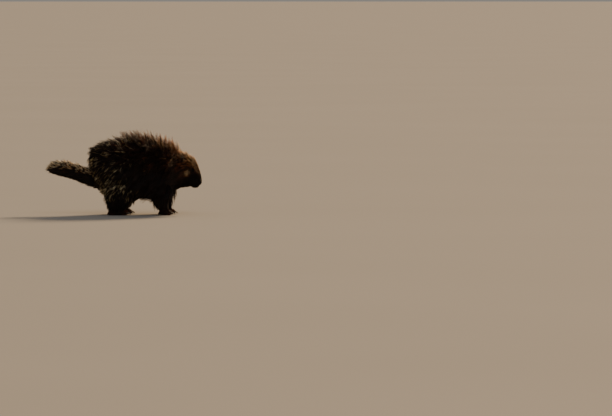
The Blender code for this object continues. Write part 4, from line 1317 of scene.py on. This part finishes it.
def skin_material():
    made, tree = new_material("hide_skin")
    gold, cream, bare = [
        add(tree, "ShaderNodeAttribute", out="Fac", attribute_name=key)
        for key in ("gold", "cream", "bare")
    ]
    place = add(tree, "ShaderNodeTexCoord", out="Object")
    blotches = add(tree, "ShaderNodeTexNoise", {"Vector": place, "Scale": 90.0, "Detail": 4.0})
    pebbles = add(tree, "ShaderNodeTexVoronoi", {"Vector": place, "Scale": PEBBLES_PER_METRE})
    hide = {0: blotches, 6: linear("#0e0907"), 7: linear("#1c120c")}
    dark = add(tree, "ShaderNodeMix", hide, out=2, data_type="RGBA")
    # Under the gold on top, the skin takes a little of it: the hair's own gold and its painted rim light
    # alike.
    golden = add(tree, "ShaderNodeMath", {0: gold, 1: 0.16}, operation="MULTIPLY")
    marked = add(tree, "ShaderNodeMix", {0: golden, 6: dark, 7: linear("#7a5530")}, out=2, data_type="RGBA")
    pale = add(tree, "ShaderNodeMath", {0: cream, 1: 0.14}, operation="MULTIPLY")
    marked = add(tree, "ShaderNodeMix", {0: pale, 6: marked, 7: linear("#8d7a5a")}, out=2, data_type="RGBA")
    naked = {0: blotches, 6: linear("#0c0907"), 7: linear("#17110e")}
    naked = add(tree, "ShaderNodeMix", naked, out=2, data_type="RGBA")
    grain = add(tree, "ShaderNodeMath", {0: pebbles, 1: bare}, operation="MULTIPLY")
    finish = {
        "Base Color": add(tree, "ShaderNodeMix", {0: bare, 6: marked, 7: naked}, out=2, data_type="RGBA"),
        "Roughness": 0.6,
        "IOR": 1.4,
        "Specular IOR Level": 0.2,
        "Normal": add(tree, "ShaderNodeBump", {"Height": grain, "Strength": 0.35, "Distance": 0.0004}),
    }
    add(tree, "ShaderNodeOutputMaterial", {"Surface": add(tree, "ShaderNodeBsdfPrincipled", finish)})
    return made


skin.data.materials.clear()
skin.data.materials.append(skin_material())
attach(skin, "root")
limbs = [f"leg_{name}" for name in LEGS]
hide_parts("torso", "neck", "head", "tail", *limbs, "ear_left", "ear_right")
print("skin dressed")

# %% [markdown]
# ## The coat, layer by layer
#
# A dense dark wool comes first and fills the lower half of the coat's depth. Guard hair grows through it
# to the coat's full height, and the quills stand among it on the back, rump and tail. The face, legs and
# feet have shorter, finer hair. Spacings are wider and hairs thicker than on the animal, where they would
# be a tenth of a millimetre, so that they still show. Lids, nostrils, lips and soles stay bare.

# %% Where hair is wanted
def clear_face(points):
    """0 on the lids, nostrils and lips, and 1 away from them. More is clear ahead of an eye than behind."""
    lids = [centre + (0.0016, 0, 0) for centre in eye_centres.values()]
    mouth_gap, _ = along_line(points, mouth)
    free = ease(0.0058, 0.0070, gap_to(points, lids))
    free *= ease(0.0032, 0.0045, gap_to(points, nostrils.values()))
    return free * ease(0.0016, 0.0030, mouth_gap)


def on_crown(points, place):
    """1 on the head behind the eyes and on its top, where the nape's long hair runs on over the brow."""
    top = ease(0.25, 0.60, np.cos(place["angle"]))
    return np.maximum(1 - ease(0.262, 0.276, points[:, 0]), top * (1 - ease(0.303, 0.320, points[:, 0])))


def body_part(points, place):
    free = (1 - near_ear(points)) * (1 - near_eye(points))
    return (place["trunk"] + place["head"] * on_crown(points, place)) * free


print("bare places: lids, nostrils, lips and soles")

# %% [markdown]
# ### Underfur
#
# Next to the skin a porcupine has a soft dark wool. It hardly shows, but it closes the gaps among the
# long hairs. A real one has thousands of threads to a square centimetre. Here a few wide, flat ones do
# its work.

# %% Underfur
def wool_part(points, place):
    return body_part(points, place) * (1 - ease(0.272, 0.292, points[:, 0]))


grow(
    "underfur", underfur, "coat", 0.0039, wool_part, 101, rings=2, reach=0.55, shortest=0.008,
    longest=0.045, width=0.0034, flat=0.6, lift=0.95, stray=0.12, toss=0.3, gather=0.3, tuft=0.012,
    finer=0.4,
)

# %% [markdown]
# ### Guard hair
#
# The dark, shaggy hair of the body is mostly 25 to 90 mm long and falls into pointed tufts. It could be
# combed by hand, but tufts come by themselves when each hair is drawn towards the one that leads its
# tuft.

# %% Guard hair of the body
MANE_X = 0.195  # where the guard hair ends and the mane begins


def guard_part(points, place):
    return body_part(points, place) * (points[:, 0] < MANE_X)


grow(
    "guard_hair", guard_hair, "coat", 0.0031, guard_part, 111, rings=4, reach=1.04, shortest=0.014,
    longest=0.090, width=0.0012, flat=0.6, stray=0.08, toss=0.45, gather=0.93, tuft=0.0130,
)

# %% [markdown]
# ### Mane
#
# Ahead of the shoulders the same hair runs on over the neck and crown, where its tips turn golden and
# catch the light; that gold is partly the hair's own and partly painted rim light of a low sun behind. It
# is a layer of its own, because it is finer and denser there and has a warmer finish.

# %% Mane over the nape and crown
def mane_part(points, place):
    return body_part(points, place) * (points[:, 0] >= MANE_X)


grow(
    "mane", mane_hair, "mane", 0.0028, mane_part, 113, ahead_of=0.19, rings=4, reach=1.0, shortest=0.008,
    longest=0.080, width=0.0010, flat=0.6, stray=0.11, toss=0.40, gather=0.75, tuft=0.0100, finer=0.35,
    nape=0.16,
)

# %% [markdown]
# ### Long hairs
#
# Single long hairs stand up out of the back and make its outline ragged. On the nape some of their tips
# are bleached. They are few, so they get a wide spacing instead of a change to the layers below.

# %% Long hairs of the back and nape
def back_part(points, place):
    on_top = ease(0.35, 0.85, np.cos(place["angle"]))
    x = points[:, 0]
    thinned = (0.5 + 0.35 * ease(0.10, 0.19, x)) * (1 - 0.6 * ease(0.205, 0.240, x))
    return place["trunk"] * on_top * ease(-0.05, 0.05, x) * thinned


grow(
    "long_hair", mane_hair, "mane", 0.0046, back_part, 115, rings=4, reach=1.30, shortest=0.040,
    longest=0.105, width=0.0009, flat=0.6, lift=1.15, stray=0.08, toss=0.45, gather=0.80, tuft=0.013,
    bleach=0.60, nape=0.45,
)

# %% [markdown]
# ### Quills
#
# On the rump and hips cream quills lie half hidden in the guard hair and show as short pale flecks. Each
# is a hair of its own kind, mostly 20 to 50 mm long and 2 to 3 mm thick, and grows where the markings are
# cream.

# %% Quills
def quill_part(points, place):
    _, cream = markings_and_painted_rim(points, place)
    under_tail = (points[:, 0] < -0.085) & (points[:, 2] < 0.155)
    here = np.clip(place["trunk"] + 0.9 * place["leg"], 0, 1) * (points[:, 2] > 0.055) * ~under_tail
    return np.clip(cream * 1.3, 0, 1) * here


grow(
    "quills_body", quill_keratin, "coat", 0.0053, quill_part, 121, rings=3, reach=1.12, shortest=0.020,
    longest=0.043, width=0.0027, profile=(0.7, 1.0, 0.75), flat=0.95, lift=1.35, stray=0.22, toss=1.00,
    gather=0.50, tuft=0.012,
)

# %% [markdown]
# ### Tail
#
# The tail is a club of quills: pale ones stand up on its top and tip, and stiff dark hair lies along its
# sides and beneath. Its quills grow in rows across it, like the teeth of a comb from the side, so their
# roots are kept only where a repeating step along the tail says that a row runs. On its tip they are kept
# everywhere.

# %% Hair and quills of the tail
ROW_PITCH, ROW_SHARE = 0.0125, 0.42  # from row to row, and how much of that its quills take


def tail_quill_part(points, place):
    in_row = np.mod(points[:, 0] + 0.25 * np.abs(points[:, 1]), ROW_PITCH) < ROW_PITCH * ROW_SHARE
    everywhere = 1 - ease(-0.295, -0.272, points[:, 0])
    return place["tail"] * ease(0.25, 0.75, np.cos(place["tail_angle"])) * np.maximum(in_row, everywhere)


grow(
    "tail_hair", guard_hair, "tail", 0.0028, lambda points, place: place["tail"], 131, rings=3, reach=0.88,
    shortest=0.009, longest=0.038, width=0.0011, stray=0.10, toss=0.25, gather=0.75, tuft=0.011,
)
grow(
    "tail_quills", tail_quill_keratin, "tail", 0.0034, tail_quill_part, 133, rings=3, reach=1.10,
    shortest=0.016, longest=0.042, width=0.0021, profile=(0.8, 1.0, 0.7), flat=0.95, lift=1.22, stray=0.04,
    toss=0.12, gather=0.60, tuft=0.0100,
)

# %% [markdown]
# ### Face
#
# On the cheeks, round the eyes and on the ears the hair is short and lies flat, mostly 6 to 30 mm long,
# and on the muzzle it is a fine fur of 5 to 15 mm. Each is spread at a narrow spacing of its own, since
# one spacing can't suit flank and face.

# %% Short hair of the face
def face_part(points, place):
    x = points[:, 0]
    bare_of_mane = np.maximum(1 - on_crown(points, place), np.maximum(near_ear(points), near_eye(points)))
    wanted = np.clip(bare_of_mane + ease(0.285, 0.295, x), 0, 1) * (1 - ease(0.294, 0.306, x))
    return place["head"] * wanted * clear_face(points)


grow(
    "face_hair", face_hair, "face", 0.00122, face_part, 141, ahead_of=0.22, rings=2, reach=1.0,
    shortest=0.0050, longest=0.026, width=0.0008, finer=0.45, lift=1.1, stray=0.12, toss=0.25,
    gather=0.45, tuft=0.0045,
)


# %% Fine fur of the muzzle
def muzzle_part(points, place):
    return place["head"] * ease(0.288, 0.302, points[:, 0]) * clear_face(points)


grow(
    "muzzle_fur", face_hair, "face", 0.00085, muzzle_part, 145, ahead_of=0.28, rings=2, reach=1.0,
    shortest=0.0048, longest=0.0130, width=0.00050, stray=0.10, toss=0.20, gather=0.30, tuft=0.0030,
)

# %% [markdown]
# ### Whiskers
#
# Stiff black hairs, 26 to 44 mm long, stand out of the sides of the muzzle. They are few, so each gets a
# random root of its own. They are drawn 0.6 mm thick, about three times the real size, so that they show.

# %% Whiskers
WHISKERS = 14  # on each side
WHISKER_X, WHISKER_Z = (0.302, 0.315), (0.139, 0.154)  # where they stand on the muzzle
WHISKER_LENGTHS, WHISKER_WIDTH, WHISKER_DEPTH = (0.026, 0.044), 0.0006, 0.001
source = np.random.default_rng(151)
whisker_sides = np.repeat(list(SIDES), WHISKERS)
whisker_roots = np.array(
    [on_muzzle(source.uniform(*WHISKER_X), source.uniform(*WHISKER_Z), side) for side in whisker_sides]
)
whisker_normals = unit(np.array([(0.25, side, -0.05) for side in whisker_sides]))
count = len(whisker_roots)
paths = strand_paths(
    whisker_roots - whisker_normals * WHISKER_DEPTH,
    whisker_normals,
    np.tile((-0.9, 0.0, -0.3), (count, 1)),
    np.radians(source.uniform(35, 60, count)),
    0.4,
    source.uniform(*WHISKER_LENGTHS, count),
    source.normal(0, 0.12, (count, 3)),
    4,
)
values = {"shade": source.random(count), "gold": np.full(count, 0.1), "cream": np.zeros(count)}
widths = np.full(count, WHISKER_WIDTH)
spots = unwrap(whisker_roots, survey(whisker_roots))
whiskers = hair_mesh("whiskers", paths, whisker_normals, widths, TAPER[4], 0.9, values, spots)
add_piece("whiskers", whiskers, face_hair, "face")
print("whiskers:", count)

# %% [markdown]
# ### Legs and feet
#
# Shaggy hair hangs down the legs in pointed locks. On the feet it is short and points to the toes, and it
# stops above the soles, which are bare.

# %% Hair of the legs and feet
def foot_part(points, place):
    return place["foot"] * ease(0.004, 0.008, points[:, 2])


grow(
    "leg_hair", leg_hair, "leg", 0.0030, lambda points, place: place["leg"], 161, rings=3, reach=1.15,
    shortest=0.012, longest=0.042, width=0.0012, stray=0.10, toss=0.55, gather=0.80, tuft=0.011,
)
grow(
    "foot_hair", leg_hair, "leg", 0.0019, foot_part, 171, rings=2, reach=1.8, shortest=0.0070,
    longest=0.016, width=0.0010, lift=2.3, stray=0.14, toss=0.35, gather=0.35, tuft=0.005,
)
hair_counts, triangle_counts = zip(*pieces_made)
print("coat in all:", sum(triangle_counts), "triangles,", sum(hair_counts), "hairs")

# %% [markdown]
# ## Eyes
#
# The eye is small, dark and wet. The ball has a clear bulge in front, the cornea, which catches the
# light, and the iris is a brown so dark that the pupil hardly shows in it. A ball with a slight bulge of
# its own and rings of colour round its axis gives all of this without a second, clear shell.

# %% Eye material and balls
BALL_RADIUS, CORNEA_RADIUS, CORNEA_BULGE = EYE_RADIUS * 0.985, EYE_RADIUS * 0.62, 0.00035


def eye_material():
    made, tree = new_material("wet_eye")
    place = add(tree, "ShaderNodeTexCoord", out="Object")
    across = add(tree, "ShaderNodeVectorMath", {0: place, 1: (1, 1, 0)}, operation="MULTIPLY")
    from_axis = add(tree, "ShaderNodeVectorMath", {0: across}, out="Value", operation="LENGTH")
    share = add(tree, "ShaderNodeMath", {0: from_axis, 1: EYE_RADIUS}, operation="DIVIDE")
    rings = add(tree, "ShaderNodeValToRGB", {"Fac": share})
    stops = ((0.0, "#020101"), (0.42, "#020101"), (0.50, "#1c0f07"), (0.80, "#2a170b"), (0.92, "#0c0705"))
    fill_ramp(rings.node.color_ramp, stops)
    finish = {"Base Color": rings, "Roughness": 0.04, "IOR": 1.34, "Specular IOR Level": 0.42}
    add(tree, "ShaderNodeOutputMaterial", {"Surface": add(tree, "ShaderNodeBsdfPrincipled", finish)})
    return made


wet_eye = eye_material()
for side, word in SIDES.items():
    mesh = bmesh.new()
    bmesh.ops.create_uvsphere(mesh, u_segments=40, v_segments=28, radius=BALL_RADIUS)
    for vert in mesh.verts:
        bulge = math.exp(-((vert.co.xy.length / CORNEA_RADIUS) ** 4)) * (vert.co.z > 0)
        vert.co.z += CORNEA_BULGE * bulge
    eyeball = new_object(f"eyeball_{word}", mesh_data(mesh, f"eyeball_{word}"))
    eyeball.data.shade_smooth()
    eyeball.data.materials.append(wet_eye)
    out, _, _ = eye_frame(side)
    eyeball.location = eye_centres[side]
    eyeball.rotation_euler = Vector(out).to_track_quat("Z", "Y").to_euler()
    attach(eyeball, "root")
    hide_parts(f"eye_{word}")
print("eyes set")

# %% [markdown]
# ## Claws
#
# The claws are long, curved and worn, made of horn: dark at the base and paler towards a blunt point,
# with fine grooves along them. Each is a tapering tube with a groove beneath, because a plain cone looks
# like a thorn.

# %% Claw material and claws
GROOVES_PER_METRE = 1 / 0.0006


def claw_material():
    made, tree = new_material("claw_horn")
    along, shade = [
        add(tree, "ShaderNodeAttribute", out="Fac", attribute_name=key)
        for key in ("along", "shade")
    ]
    place = add(tree, "ShaderNodeTexCoord", out="Object")
    stretched = add(tree, "ShaderNodeVectorMath", {0: place, 1: (0.08, 1, 1)}, operation="MULTIPLY")
    grooves = add(tree, "ShaderNodeTexNoise", {"Vector": stretched, "Scale": GROOVES_PER_METRE})
    worn = {0: along, 6: linear("#1d1611"), 7: linear("#6e5c48")}
    horn = add(tree, "ShaderNodeMix", worn, out=2, data_type="RGBA")
    dirt = add(tree, "ShaderNodeMath", {0: shade, 1: 0.4}, operation="MULTIPLY")
    dirty = {0: dirt, 6: horn, 7: linear("#2c221a")}
    finish = {
        "Base Color": add(tree, "ShaderNodeMix", dirty, out=2, data_type="RGBA"),
        "Roughness": 0.38,
        "IOR": KERATIN_IOR,
        "Normal": add(tree, "ShaderNodeBump", {"Height": grooves, "Strength": 0.4, "Distance": 0.0002}),
    }
    add(tree, "ShaderNodeOutputMaterial", {"Surface": add(tree, "ShaderNodeBsdfPrincipled", finish)})
    return made


claw_horn = claw_material()
CLAW_RADIUS, CLAW_START = 0.0022, -0.004  # a claw starts this far behind the tip of its toe
CLAW_STATIONS, CLAW_SIDES = 12, 14


def claw_mesh(name, foot):
    """The claws of one foot. Each rises from its toe, arches over and comes down to its point."""
    mesh = bmesh.new()
    values = []
    source = np.random.default_rng(len(name))
    for index in range(foot.toes):
        tip, t = foot.toe_tip(index)
        ahead = (foot.ahead + foot.across * t * 0.20).normalized()
        across = Vector((-ahead.y, ahead.x, 0))
        arch = ((CLAW_START, 0.0070), (0.004, 0.0098), (0.010, 0.0090), (foot.claw_reach, 0.0030))
        heights = Profile(arch)
        reach = np.linspace(CLAW_START, foot.claw_reach, CLAW_STATIONS)
        rise = heights.at(reach)[0]
        slope = np.gradient(rise, reach)
        rings = []
        for i in range(CLAW_STATIONS):
            share = i / (CLAW_STATIONS - 1)
            radius = CLAW_RADIUS * (1.0 - 0.12 * share - 0.72 * share**3)
            up = Vector((-ahead.x * slope[i], -ahead.y * slope[i], 1)).normalized()
            centre = tip + ahead * reach[i] + Vector((0, 0, rise[i]))
            ring = []
            for k in range(CLAW_SIDES):
                a = 2 * math.pi * k / CLAW_SIDES
                groove = 1 - 0.30 * math.exp(-(((a - 1.5 * math.pi) / 0.5) ** 2))
                ring.append(centre + (across * math.cos(a) + up * 1.15 * math.sin(a)) * radius * groove)
                values.append((share, source.random() * 0.2 + index * 0.1))
            rings.append(ring)
        loft(mesh, rings)
    bmesh.ops.recalc_face_normals(mesh, faces=mesh.faces)
    data = mesh_data(mesh, name)
    data.shade_smooth()
    for key, column in zip(("along", "shade"), zip(*values)):
        set_values(data, key, column)
    return data


for name, foot in feet.items():
    solids = [f"claw_{name}_{index + 1}" for index in range(foot.toes)]
    add_piece(f"claws_{name}", claw_mesh(f"claws_{name}", foot), claw_horn, "claw", *solids)
print("claws set on", len(feet), "feet")

# %% [markdown]
# ## Floor and light
#
# The floor is a plain pale sheet, large enough to fill the low view up to its horizon. The light is a
# soft studio one that keeps the mood of low sun: a warm, broad light from behind the animal edges its
# back, and a weaker, cooler one in front opens the shadows. Both are sun lamps, which light such a long
# floor evenly.

# %% Floor
FLOOR_HALF = 3000.0


def floor_material():
    """Matt paint on a smooth screed, with faint cloudy patches a few metres wide where it was rolled on."""
    made, tree = new_material("matt_floor_paint")
    place = add(tree, "ShaderNodeTexCoord", out="Object")
    clouds = add(tree, "ShaderNodeTexNoise", {"Vector": place, "Scale": 0.4, "Detail": 2.0})
    paint = {0: clouds, 6: linear("#a09a91"), 7: linear("#a6a097")}
    finish = {
        "Base Color": add(tree, "ShaderNodeMix", paint, out=2, data_type="RGBA"),
        "Roughness": 0.9,
        "Specular IOR Level": 0.2,
    }
    add(tree, "ShaderNodeOutputMaterial", {"Surface": add(tree, "ShaderNodeBsdfPrincipled", finish)})
    return made


mesh = bmesh.new()
bmesh.ops.create_grid(mesh, x_segments=8, y_segments=8, size=FLOOR_HALF)
floor = new_object("floor", mesh_data(mesh, "floor"))
floor.data.materials.append(floor_material())
print("floor laid")


# %% Lights
def lamp(name, toward, spread_degrees, strength, code):
    """A far light that shines from the way toward, softened by its spread."""
    light = bpy.data.lights.new(name, "SUN")
    light.angle = math.radians(spread_degrees)
    light.energy = strength
    light.color = linear(code)[:3]
    new_object(name, light).rotation_euler = Vector(toward).to_track_quat("Z", "Y").to_euler()


lamp("back_light", (0.60, 1.0, 0.62), 18, 4.6, "#ffdcae")
lamp("front_light", (0.3, -1.0, 0.9), 30, 0.5, "#f1f3ff")
world = bpy.data.worlds.new("studio")
bpy.context.scene.world = world
world.use_nodes = True
background = world.node_tree.nodes["Background"]
background.inputs["Color"].default_value = linear("#d9d6d2")
background.inputs["Strength"].default_value = 0.34
print("lights placed")
